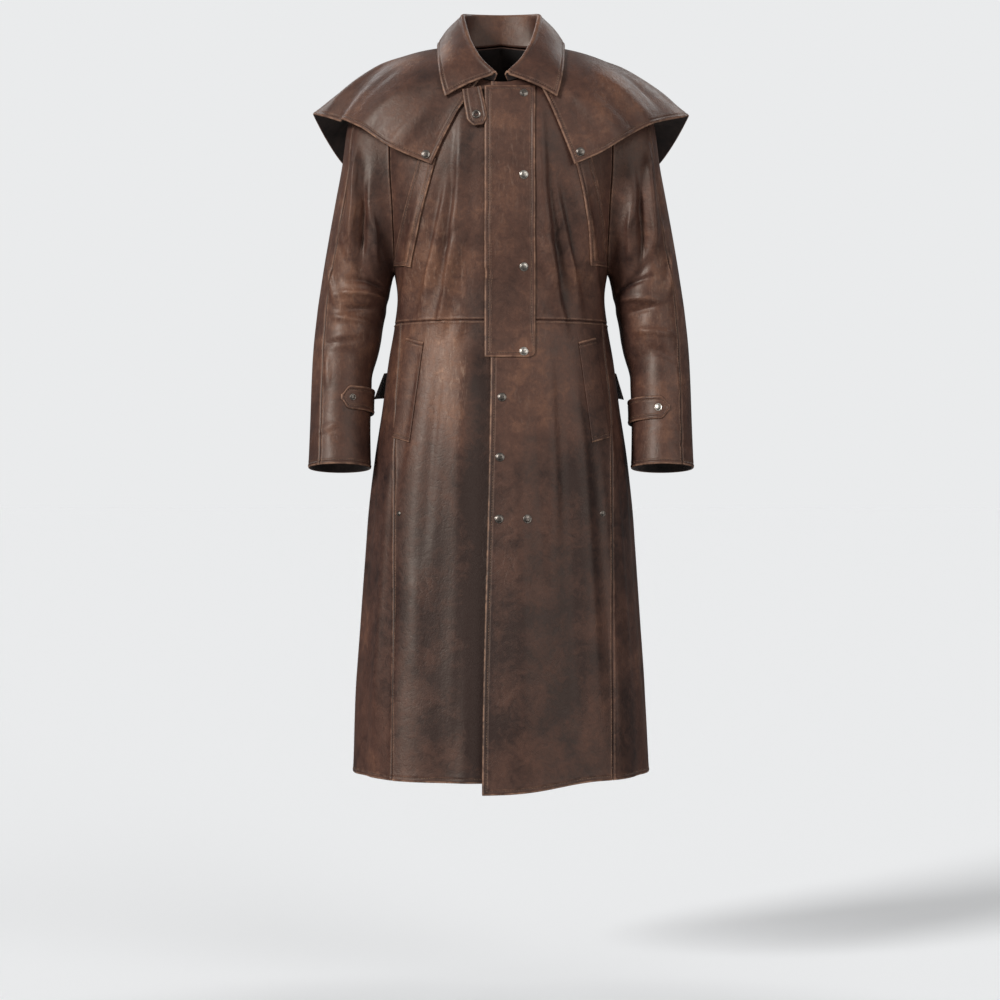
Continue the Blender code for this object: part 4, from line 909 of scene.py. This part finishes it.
def sleeve(side, t, turn):
    t, turn = np.broadcast_arrays(np.asarray(t, float), np.asarray(turn, float))
    ring = [readCurve(sleeveRings, k, t) for k in range(1, 8)]
    outerX, outerZ, innerX, innerZ, middleY, halfDepth, pitch = ring
    across, deep, swell = np.cos(turn), np.sin(turn), sleeveSwell(side, t, turn)
    x = (outerX + innerX) / 2 + (outerX - innerX) / 2 * across * swell
    y = middleY + halfDepth * deep * swell
    z = (outerZ + innerZ) / 2 + (outerZ - innerZ) / 2 * across - pitch * halfDepth * deep
    first = sleeveRings[0]
    firstX = (first[1] + first[3] + (first[1] - first[3]) * across) / 2
    plain = np.stack([firstX, first[6] * deep, armholeZ(turn)], axis=-1)
    near = 1 - smooth(t / 0.20)
    points = np.stack([x, y, z], axis=-1) + (sleeveEdge(turn) - plain) * near[..., None]
    return mirrored(points, side)


def sleeveOut(side, t, turn):
    around = sleeve(side, t, turn + 0.01) - sleeve(side, t, turn - 0.01)
    along = sleeve(side, t + 0.003, turn) - sleeve(side, t - 0.003, turn)
    middle = (sleeve(side, t, 0.0) + sleeve(side, t, np.pi)) / 2
    out = unit(np.cross(around, along))
    away = sleeve(side, t, turn) - middle
    return out * np.sign((out * away).sum(axis=-1, keepdims=True))


def sleeveSeam(t):
    at, degrees = zip(*sleeveSeamOuter)
    return np.radians(np.interp(t, at, degrees))


t = fineSteps(0.80, 0.0062)[:, None]
innerSeam = math.radians(157.5) + 0 * t
for word, side in (("right", -1), ("left", 1)):
    for part, start, end, width in (
        ("front", innerSeam - 2 * np.pi, sleeveSeam(t), 0.20),
        ("back", sleeveSeam(t), innerSeam, 0.26),
    ):
        turn = start + 0.0027 + (end - start - 0.0054) * fineSteps(width, 0.0062)
        grid, ways = sleeve(side, t, turn), sleeveOut(side, t, turn)
        makeHide(f"sleeve_{word}_{part}", grid, ways, turned=["bottom"], sewn=["top", "first", "last"])
print("sleeves ready")


# Cape and collar

capeLines = [  # turn, then x, y, z of the neck, the yoke and the hem
    (0, 0.036, -0.121, -0.066, 0.075, -0.133, -0.128, 0.1134, -0.139, -0.205),
    (28, 0.062, -0.104, -0.043, 0.124, -0.124, -0.096, 0.1800, -0.129, -0.176),
    (52, 0.079, -0.060, -0.017, 0.155, -0.089, -0.052, 0.2330, -0.096, -0.139),
    (72, 0.086, -0.028, 0.000, 0.170, -0.040, -0.024, 0.2700, -0.050, -0.121),
    (88, 0.088, -0.002, 0.004, 0.173, -0.005, -0.016, 0.3040, -0.008, -0.109),
    (98, 0.088, 0.012, 0.006, 0.172, 0.018, -0.018, 0.3150, 0.028, -0.103),
    (113, 0.085, 0.030, 0.010, 0.165, 0.058, -0.030, 0.2960, 0.084, -0.139),
    (130, 0.074, 0.048, 0.012, 0.150, 0.094, -0.052, 0.2620, 0.124, -0.184),
    (152, 0.046, 0.066, 0.013, 0.100, 0.124, -0.080, 0.1650, 0.162, -0.240),
    (168, 0.021, 0.0725, 0.014, 0.048, 0.132, -0.088, 0.0790, 0.169, -0.261),
    (180, 0.000, 0.074, 0.014, 0.000, 0.133, -0.090, 0.0000, 0.171, -0.264),
]


capeFolds = {  # turn, width, rise
    -1: [(64, 6, 0.006), (74, 6, -0.007), (140, 9, 0.008), (158, 8, -0.008)],
    1: [(34, 9, 0.004), (52, 8, -0.004), (142, 9, 0.007), (160, 8, -0.007)],
}


def capeWave(side, turns, rows):
    grown = smooth((rows - 0.25) / 0.75)[:, None]
    rise = grown * sum(height * bell(turns, at, wide) for at, wide, height in capeFolds[side])
    strokes = creases["capeRight" if side < 0 else "capeLeft"]
    rise = rise + strokeRise(strokes, np.radians(turns) * 0.25, rows[:, None] * 0.215)
    out = np.radians(turns)
    return np.stack([rise * np.sin(out), -rise * np.cos(out), 0.6 * rise], axis=-1)


def capeHalf(side, turns, rows):
    neck, yoke, hem = (readPoints(capeLines, column, turns) for column in (1, 4, 7))
    if side > 0:  # this front edge lies further out, clear of the flap
        reach = (1 - smooth(turns / 30))[:, None]
        neck = neck + np.array([0.022, 0.004, 0.003]) * reach
        yoke = yoke + np.array([0.013, 0.002, 0.002]) * reach
        hem = hem + np.array([0.006, 0.0, 0.0]) * reach
        shoulder = bell(turns, 88, 30)[:, None]
        yoke = yoke - np.array([0.0, 0.0, 0.004]) * shoulder
        hem = hem - np.array([0.0, 0.0, 0.003]) * shoulder
    first = np.linalg.norm(yoke - neck, axis=-1)
    bend = (first / (first + np.linalg.norm(hem - yoke, axis=-1)))[None, :, None]
    f = rows[:, None, None]
    grid = neck * (f - bend) * (f - 1) / bend + yoke * f * (f - 1) / (bend * (bend - 1))
    return mirrored(grid + hem * f * (f - bend) / (1 - bend) + capeWave(side, turns, rows), side)


capeClearance = 0.0056
turns = 180 * fineSteps(0.80, 0.0062, last=False)
rows = fineSteps(0.215, 0.0052, first=False)
halves = capeHalf(-1, turns[:-1], rows), capeHalf(1, turns[::-1], rows)
below = ["bodice_right_front", "bodice_left_front", "bodice_back"]
grid = cleared(below, np.concatenate(halves, axis=1), capeClearance)
ways = gridOut(grid)
makeHide("cape", grid, ways * np.sign(ways[..., 2].sum()), turned=["first", "last", "bottom"])
print("cape ready")

collar = {"start": 8, "aboveNeck": 0.0026, "foldRadius": 0.0032, "swell": 0.004}
collarLines = [  # turn, then x, y, z of the fold and of the fall's outer edge
    (8, 0.010, -0.129, -0.0590, 0.0910, -0.1310, -0.0945),
    (30, 0.036, -0.107, -0.0300, 0.0985, -0.1205, -0.0635),
    (58, 0.055, -0.070, 0.0100, 0.1035, -0.0740, -0.0240),
    (90, 0.064, -0.022, 0.0500, 0.1050, -0.0120, 0.0055),
    (130, 0.056, 0.034, 0.0610, 0.0860, 0.0680, 0.0060),
    (180, 0.000, 0.064, 0.0640, 0.0000, 0.1060, 0.0020),
]


def neckRing(turn):
    x, low = neckline(turn, back=False)
    high = neckline(turn, back=True)[1]
    z = np.where(np.cos(turn) > 0, low, high)
    ahead, behind = body(angleAt(x, z), z), body(angleAt(x, z, back=True), z)
    return np.stack([x, np.where(np.cos(turn) > 0, ahead[..., 1], behind[..., 1]), z], axis=-1)


def collarHalf(turns):
    last = collarLines[-2]  # carried on past the centre back, so that no corner stands there
    lines = [*collarLines, (360 - last[0], -last[1], *last[2:4], -last[4], *last[5:7])]
    fold, edge = readPoints(lines, 1, turns), readPoints(lines, 4, turns)
    seam = neckRing(np.radians(turns))
    seam = seam + collar["aboveNeck"] * unit(fold - seam)
    out = unit((edge - fold) * np.array([1, 1, 0]))
    rise = np.array([0, 0, 1.0])
    inner, outer = fold - collar["foldRadius"] * out, fold + collar["foldRadius"] * out
    rows = [seam + (inner - seam) * f for f in np.linspace(0, 1, 12)]
    for a in np.radians([25, 50, 75, 100, 125, 150]):
        rows.append(fold + collar["foldRadius"] * (-math.cos(a) * out + math.sin(a) * rise))
    for f in fineSteps(0.072, 0.0042, first=False):
        swell = collar["swell"] * math.sin(math.pi * f)
        rows.append(outer + (edge - outer) * f + swell * unit(out + 0.5 * rise))
    return np.stack(rows)


turns = collar["start"] + (180 - collar["start"]) * fineSteps(0.33, 0.0050, last=False)
half = collarHalf(turns)
grid = np.concatenate([mirrored(half[:, :-1], -1), half[:, ::-1]], axis=1)
ways = gridOut(grid)
ways = ways * np.sign(ways[-1, len(turns), 1])
grid = grid + ways * coat["collarWall"] / 2
makeHide("collar", grid, ways, turned=["first", "last", "bottom"], thickness=coat["collarWall"])
print("collar ready")


# Pieces sewn on the front

flap = {"left": -0.026, "right": 0.055, "top": -0.0775, "bottom": -0.518, "corner": 0.010}
across, down = fineSteps(0.081, 0.0045), fineSteps(0.44, 0.0055)[:, None]
x = flap["left"] + (flap["right"] - flap["left"]) * across + 0 * down
z = flap["top"] + (flap["bottom"] - flap["top"]) * down + 0 * x
past = np.clip((x[-1] - flap["right"] + flap["corner"]) / flap["corner"], 0, 1)
lifted = flap["corner"] * (1 - np.sqrt(1 - past**2))
z = z + lifted * smooth((z - z[0]) / (z[-1] - z[0]) * 8 - 7)
points, ways = front(x, z, over=True)
allRound = ["first", "last", "top", "bottom"]
below = ["bodice_left_front", "skirt_left_front"]
makeLaid("storm_flap", below, points, ways, allRound, stiff=14, thickness=coat["wall"], slot="dark_leather")

tab = {"top": (-0.0470, -0.083), "tip": (-0.0360, -0.144), "length": 0.062, "width": 0.032, "lift": 0.0066}
top, tip = np.array(tab["top"]), np.array(tab["tip"])
along = unit(tip - top)
over = np.array([-along[1], along[0]])
down = fineSteps(tab["length"], 0.003)[:, None]
outline = [0, 0.2, 0.4, 0.8, 0.9, 1.0], [0.92, 0.96, 1.0, 1.0, 0.78, 0.45]  # down, share of the width
widths = np.interp(down, *outline) * tab["width"]
across = (fineSteps(tab["width"], 0.003) - 0.5) * widths
places = top + along * (down * tab["length"])[..., None] + over * across[..., None]
points, ways = front(places[..., 0], places[..., 1])
makeHide("throat_tab", points + (tab["lift"] + coat["wall"]) * ways, ways, turned=["first", "last", "bottom"])

pocket = {"top": (0.1400, -0.489), "bottom": (0.1620, -0.652), "width": 0.028, "slant": 0.30}
for word, side in (("right", -1), ("left", 1)):
    down = fineSteps(0.165, 0.0045)[:, None]
    across = (fineSteps(pocket["width"], 0.0030) - 0.5) * pocket["width"]
    x = pocket["top"][0] + (pocket["bottom"][0] - pocket["top"][0]) * down + across
    z = pocket["top"][1] + (pocket["bottom"][1] - pocket["top"][1]) * down + across * pocket["slant"]
    points, ways = front(side * x, z, over=side > 0)
    below = [f"skirt_{word}_front", f"skirt_{word}_side"]
    makeLaid(f"pocket_welt_{word}", below, points, ways, ["top", "bottom"])

bands = {
    "width": 0.027,
    "right": [(0.1180, -0.192), (0.1330, -0.245), (0.1480, -0.300), (0.1620, -0.366)],
    "left": [(0.1330, -0.192), (0.1460, -0.245), (0.1560, -0.305), (0.1595, -0.366)],
}
for word, side in (("right", -1), ("left", 1)):
    down = fineSteps(0.18, 0.0045)
    line = np.stack([np.interp(down, np.linspace(0, 1, 4), column) for column in zip(*bands[word])], axis=-1)
    for _ in range(6):  # rounds the line's corners
        line[1:-1] = 0.25 * line[:-2] + 0.5 * line[1:-1] + 0.25 * line[2:]
    along = unit(np.gradient(line, axis=0))
    over = np.stack([-along[:, 1], along[:, 0]], axis=-1)
    across = (fineSteps(bands["width"], 0.0030) - 0.5)[:, None] * bands["width"]
    places = line[:, None] + over[:, None] * across
    points, ways = front(side * places[..., 0], places[..., 1], over=side > 0)
    makeLaid(f"chest_band_{word}", [f"bodice_{word}_front"], points, ways, ["first", "last", "bottom"])

cuffTab = {
    "width": 0.036,
    "start": math.radians(-250),
    "at": {-1: 0.838, 1: 0.862},
    "tip": {-1: math.radians(-94), 1: math.radians(-78)},
    "slack": 0.0035,
}
armLength = sum(math.dist(a[1:3], b[1:3]) for a, b in zip(sleeveRings[:-1], sleeveRings[1:]))
for word, side in (("right", -1), ("left", 1)):
    along = fineSteps(0.17, 0.0040)[:, None]
    point = 1 - 0.78 * smooth((along - 0.90) / 0.10)
    across = fineSteps(cuffTab["width"], 0.0035)
    turn = cuffTab["start"] + (cuffTab["tip"][side] - cuffTab["start"]) * along + 0 * across
    t = cuffTab["at"][side] + (across - 0.5) * cuffTab["width"] / armLength * point
    slack = cuffTab["slack"] * bell(np.degrees(turn), -180, 45)[..., None]
    points, ways = sleeve(side, t, turn), sleeveOut(side, t, turn)
    below = [f"sleeve_{word}_front", f"sleeve_{word}_back"]
    makeLaid(f"cuff_tab_{word}", below, points, ways, allRound, slack=slack)

strap = {
    "topZ": -0.527,
    "width": 0.044,
    "start": math.radians(150),
    "end": math.radians(103),
    "off": {-1: 0.021, 1: 0.014},
}
for word, side in (("right", -1), ("left", 1)):
    along = fineSteps(0.15, 0.0050)[:, None]
    across = fineSteps(strap["width"], 0.0040)
    angle = strap["start"] + (strap["end"] - strap["start"]) * along + 0 * across
    z = strap["topZ"] - 0.012 * along - strap["width"] * across
    points, ways = body(side * angle, z), bodyOut(side * angle, z)
    slack = (strap["off"][side] * smooth((along - 0.35) / 0.65) * (0.45 + 0.55 * across))[..., None]
    below = ["skirt_back", f"skirt_{word}_side"]
    makeLaid(f"waist_strap_{word}", below, points, ways, allRound, slack=slack)
print("sewn-on pieces ready")


# Sewing: each row follows an edge of its panel, the thread sunk a little at both ends of a stitch

sewing = {
    "pitch": 0.0043,
    "length": 0.0031,
    "thick": 0.00042,
    "fromEdge": 0.0062,
    "fromSeam": 0.0034,
    "secondRow": 0.0112,
}


def stitchPath(short, border, distance):
    piece = pieces[short]
    grid, ways, far = piece["grid"], piece["ways"], borderDistances(piece["grid"])
    sideways = border in ("first", "last")
    path = []
    for lane in range(grid.shape[0] if sideways else grid.shape[1]):
        cut = (lane, slice(None)) if sideways else (slice(None), lane)
        order = np.argsort(far[border][cut])
        reach = far[border][cut][order]
        others = [np.interp(distance, reach, far[b][cut][order]) for b in piece["turned"] if b != border]
        if all(other > distance * 0.97 for other in others):
            fields = np.concatenate([grid[cut][order], ways[cut][order]], axis=1)
            path.append([np.interp(distance, reach, field) for field in fields.T])
    return np.array(path)


def along(path, lengths, at, columns):
    return np.stack([np.interp(at, lengths, path[:, k]) for k in columns], axis=1)


def sew(short, rows):  # rows of (border, distance), as one mesh
    spots, alongs, outs = [], [], []
    for border, distance in rows:
        path = stitchPath(short, border, distance)
        lengths = np.concatenate([[0], np.cumsum(np.linalg.norm(np.diff(path[:, :3], axis=0), axis=1))])
        at = np.arange(sewing["pitch"] / 2, lengths[-1], sewing["pitch"])
        spots.append(along(path, lengths, at, (0, 1, 2)))
        ahead, before = (along(path, lengths, at + d, (0, 1, 2)) for d in (0.001, -0.001))
        alongs.append(unit(ahead - before))
        outs.append(unit(along(path, lengths, at, (3, 4, 5))))
    spot, straight, out = (np.concatenate(part)[:, None, None] for part in (spots, alongs, outs))
    over = np.cross(straight, out)
    turn = np.linspace(0, 2 * np.pi, 6)[:5, None]
    steps = np.array([-0.5, 0.0, 0.5])[:, None, None] * sewing["length"]
    height = np.array([-0.35, 0.55, -0.35])[:, None, None] * sewing["thick"]
    radius = np.array([0.7, 1.0, 0.7])[:, None, None] * sewing["thick"]
    points = spot + straight * steps + out * height + radius * (np.cos(turn) * over + np.sin(turn) * out)
    count = len(spot)
    ring = np.arange(count)[:, None, None] * 15 + np.arange(2)[:, None] * 5  # a stitch: 3 rings of 5
    here, following = np.arange(5), (np.arange(5) + 1) % 5
    sides = np.stack([ring + here, ring + following, ring + 5 + following, ring + 5 + here], axis=-1)
    ends = (4, 3, 2, 1, 0), (10, 11, 12, 13, 14)
    caps = [[15 * n + corner for corner in end] for n in range(count) for end in ends]
    mesh = bpy.data.meshes.new(f"{short}_stitches")
    mesh.from_pydata(points.reshape(-1, 3).tolist(), [], sides.reshape(-1, 4).tolist() + caps)
    mesh.materials.append(threadMaterial)
    made = addObject(f"{short}_stitches", mesh)
    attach(made, "root")
    print(f"{short}: {count} stitches")
    return made


seamRows = {  # seams that are topstitched as well, on this side of them
    "skirt_right_front": ["top", "first"],
    "skirt_left_front": ["top", "last"],
    "skirt_right_side": ["top"],
    "skirt_left_side": ["top"],
    "skirt_back": ["top", "first", "last"],
    "sleeve_right_front": ["last"],
    "sleeve_left_front": ["last"],
    "bodice_back": ["top"],
}
cuts = {  # width, length, area of the cut, how it is held, what it hangs from or lies on
    "bodice_right_front": (0.348, 0.531, 0.1177, "hung", ["bodice_back"]),
    "bodice_left_front": (0.329, 0.529, 0.1103, "hung", ["bodice_back"]),
    "bodice_back": (0.493, 0.524, 0.2123, "hung", ["collar"]),
    "skirt_right_front": (0.231, 0.752, 0.1666, "hung", ["bodice_right_front"]),
    "skirt_left_front": (0.224, 0.768, 0.1660, "hung", ["bodice_left_front"]),
    "skirt_right_side": (0.303, 0.752, 0.1776, "hung", ["bodice_right_front", "bodice_back"]),
    "skirt_left_side": (0.297, 0.753, 0.1716, "hung", ["bodice_left_front", "bodice_back"]),
    "skirt_back": (0.499, 0.756, 0.3278, "hung", ["bodice_back"]),
    "sleeve_right_front": (0.313, 0.669, 0.0818, "hung", ["bodice_right_front"]),
    "sleeve_right_back": (0.352, 0.688, 0.1327, "hung", ["bodice_back"]),
    "sleeve_left_front": (0.310, 0.669, 0.0830, "hung", ["bodice_left_front"]),
    "sleeve_left_back": (0.353, 0.688, 0.1309, "hung", ["bodice_back"]),
    "cape": (0.785, 0.507, 0.2632, "draped", ["bodice_back", "bodice_right_front", "bodice_left_front"]),
    "collar": (0.695, 0.140, 0.0723, "folded", ["bodice_back", "cape"]),
    "storm_flap": (0.088, 0.446, 0.0367, "laid", ["bodice_left_front", "skirt_left_front"]),
    "throat_tab": (0.033, 0.070, 0.0021, "hung", ["collar"]),
    "pocket_welt_right": (0.041, 0.166, 0.0065, "laid", ["skirt_right_front"]),
    "pocket_welt_left": (0.040, 0.166, 0.0064, "laid", ["skirt_left_front"]),
    "chest_band_right": (0.044, 0.205, 0.0078, "laid", ["bodice_right_front"]),
    "chest_band_left": (0.044, 0.193, 0.0079, "laid", ["bodice_left_front"]),
    "cuff_tab_right": (0.040, 0.172, 0.0063, "laid", ["sleeve_right_front", "sleeve_right_back"]),
    "cuff_tab_left": (0.040, 0.184, 0.0067, "laid", ["sleeve_left_front", "sleeve_left_back"]),
    "waist_strap_right": (0.047, 0.136, 0.0059, "laid", ["skirt_back"]),
    "waist_strap_left": (0.047, 0.134, 0.0059, "laid", ["skirt_back"]),
}
for short, (width, length, area, held, below) in cuts.items():
    renamed = pieces[short]["renamed"]
    rows = [(border, sewing["fromEdge"]) for border in pieces[short]["turned"]]
    rows += [(renamed.get(border, border), sewing["fromSeam"]) for border in seamRows.get(short, [])]
    if short == "storm_flap":
        rows.append((renamed.get("first", "first"), sewing["secondRow"]))
    hideObject, thread = pieces[short]["object"], sew(short, rows)
    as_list(below)
print("sewing ready")


# Snaps: pressed caps seated on the hide, in place of the plain ones

capForm = [  # share of the radius, height in millimetres
    *((1.0, -0.45), (1.0, 0.35), (0.97, 0.62), (0.90, 0.74), (0.83, 0.66), (0.80, 0.60)),
    *((0.74, 0.86), (0.56, 1.28), (0.32, 1.54), (0.12, 1.62), (0.0, 1.63)),
]
ringForm = [
    *((1.0, -0.45), (1.0, 0.30), (0.93, 0.78), (0.78, 1.02), (0.62, 0.86)),
    *((0.54, 0.40), (0.52, 0.05), (0.3, 0.0), (0.0, 0.0)),
]
snapSides = 40
seats = {
    "snap_flap": ["storm_flap"],
    "snap_front": ["skirt_left_front"],
    "snap_side_right": ["skirt_right_front", "skirt_right_side"],
    "snap_side_left": ["skirt_left_front", "skirt_left_side"],
    "snap_cape": ["cape"],
    "snap_cuff_right": ["cuff_tab_right"],
    "snap_cuff_left": ["cuff_tab_left"],
    "snap_throat_tab": ["throat_tab"],
}
# these snaps get the brighter copy of the plate, all others the darker one
brightSnaps = ("snap_flap_2", "snap_flap_3", "snap_flap_4", "snap_cuff_left")


def makeSnap(name, below):
    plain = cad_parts[name]
    corners = np.array([plain.matrix_world @ v.co for v in plain.data.vertices])
    low, high = corners.min(axis=0), corners.max(axis=0)
    radius = sorted(high - low)[1] / 2
    spot = Vector((low + high) / 2)
    seat, normal, _, _ = min((shells[b].find_nearest(spot) for b in below), key=lambda hit: hit[3])
    form = ringForm if name == "snap_throat_tab" else capForm
    turn = np.linspace(0, 2 * np.pi, snapSides + 1)[:-1]
    circle = radius * np.stack([np.cos(turn), np.sin(turn), 0 * turn], axis=-1)
    rings = [share * circle + [0, 0, height / 1000] for share, height in form[:-1]]
    points = np.concatenate([*rings, [[0, 0, form[-1][1] / 1000], [0, 0, form[0][1] / 1000]]])
    here = np.arange(snapSides)
    following = (here + 1) % snapSides
    faces = []
    for start in range(0, (len(form) - 2) * snapSides, snapSides):
        above = start + snapSides
        faces += np.stack([start + here, start + following, above + following, above + here], axis=1).tolist()
    top = (len(form) - 2) * snapSides
    faces += [(top + k, top + (k + 1) % snapSides, len(points) - 2) for k in range(snapSides)]
    faces += [((k + 1) % snapSides, k, len(points) - 1) for k in range(snapSides)]
    mesh = bpy.data.meshes.new(f"{name}_cap")
    mesh.from_pydata(points.tolist(), [], faces)
    mesh.materials.append(brightNickel if name in brightSnaps else darkNickel)
    if name == "snap_throat_tab":  # the hole for the stud, inside the sixth ring, floored with the dark flesh colour as painted shade
        mesh.materials.append(fleshMaterial)
        holeShadeFaces = [int(max(f) >= 7 * snapSides and min(f) >= 6 * snapSides) for f in faces]
        mesh.polygons.foreach_set("material_index", holeShadeFaces)
    made = addObject(f"{name}_cap", mesh)
    made.rotation_mode = "QUATERNION"
    made.rotation_quaternion = normal.to_track_quat("Z", "Y")
    made.location = seat
    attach(made, "root")
    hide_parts(name)


for name in [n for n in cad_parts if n.startswith("snap_")]:
    makeSnap(name, next(below for start, below in seats.items() if name.startswith(start)))
print("snaps ready")


# Camera, light and floor

view = {"place": (-0.00167, -5.0, -0.75), "lens": 108.0, "sensor": 36.0}
camera = bpy.data.objects.new("camera", bpy.data.cameras.new("camera"))
camera.location = view["place"]
camera.rotation_euler = (math.radians(90), 0, 0)
camera.data.lens, camera.data.sensor_width = view["lens"], view["sensor"]
bpy.context.scene.collection.objects.link(camera)
bpy.context.scene.camera = camera

studio = {
    "floorZ": -1.545,
    "floorReach": 300.0,  # out of sight, so that no horizon shows
    "backdrop": (0.822, 0.831, 0.839),
    "overhead": 0.25,  # the soft box above, as light from the sky
    "dark": 0.08,  # black flags all round at coat height
    "key": {"tilt": (68, 0, -45), "width": 16.0, "power": 2.9},
    "fill": {"tilt": (70, 0, 40), "width": 50.0, "power": 0.95},
    "rimLeft": {"tilt": (-52, 0, 38), "width": 30.0, "power": 0.7},
    "rimRight": {"tilt": (-52, 0, -38), "width": 30.0, "power": 0.7},
}
for name in ("key", "fill", "rimLeft", "rimRight"):
    facts = studio[name]
    lamp = bpy.data.objects.new(name, bpy.data.lights.new(name, "SUN"))
    lamp.data.energy, lamp.data.angle = facts["power"], math.radians(facts["width"])
    lamp.rotation_euler = [math.radians(a) for a in facts["tilt"]]
    bpy.context.scene.collection.objects.link(lamp)

world = bpy.data.worlds.new("pale_studio")
world.use_nodes = True
tree = world.node_tree
tree.nodes.clear()
place = addNode(tree, "ShaderNodeTexCoord").outputs["Generated"]
up = addNode(tree, "ShaderNodeSeparateXYZ", {"Vector": place}).outputs["Z"]
sky = {0: up, 1: 0.05, 2: 0.85, 3: studio["dark"], 4: studio["overhead"]}
strength = addNode(tree, "ShaderNodeMapRange", sky, interpolation_type="SMOOTHSTEP").outputs[0]
lit = addNode(tree, "ShaderNodeBackground", {"Color": (1, 1, 1, 1), "Strength": strength})
seen = addNode(tree, "ShaderNodeBackground", {"Color": (*studio["backdrop"], 1), "Strength": 1.0})
toCamera = addNode(tree, "ShaderNodeLightPath").outputs["Is Camera Ray"]
mixed = addNode(tree, "ShaderNodeMixShader", {0: toCamera, 1: lit.outputs[0], 2: seen.outputs[0]})
addNode(tree, "ShaderNodeOutputWorld", {"Surface": mixed.outputs[0]})
bpy.context.scene.world = world

floorMesh = bpy.data.meshes.new("floor")
far = studio["floorReach"]
floorMesh.from_pydata([(-far, -far, 0), (far, -far, 0), (far, far, 0), (-far, far, 0)], [], [(0, 1, 2, 3)])
floorObject = addObject("floor", floorMesh)
floorObject.location = (0, 0, studio["floorZ"])
floorObject.visible_glossy = False
paint, tree = newMaterial("matt_floor_paint")  # rolled emulsion paint: flat and pale
shader = addNode(tree, "ShaderNodeBsdfDiffuse", {"Color": linear("#f1f2f3")})
addNode(tree, "ShaderNodeOutputMaterial", {"Surface": shader.outputs["BSDF"]})
floorMesh.materials.append(paint)
bpy.context.scene.view_settings.view_transform = "Standard"

print("coat ready")
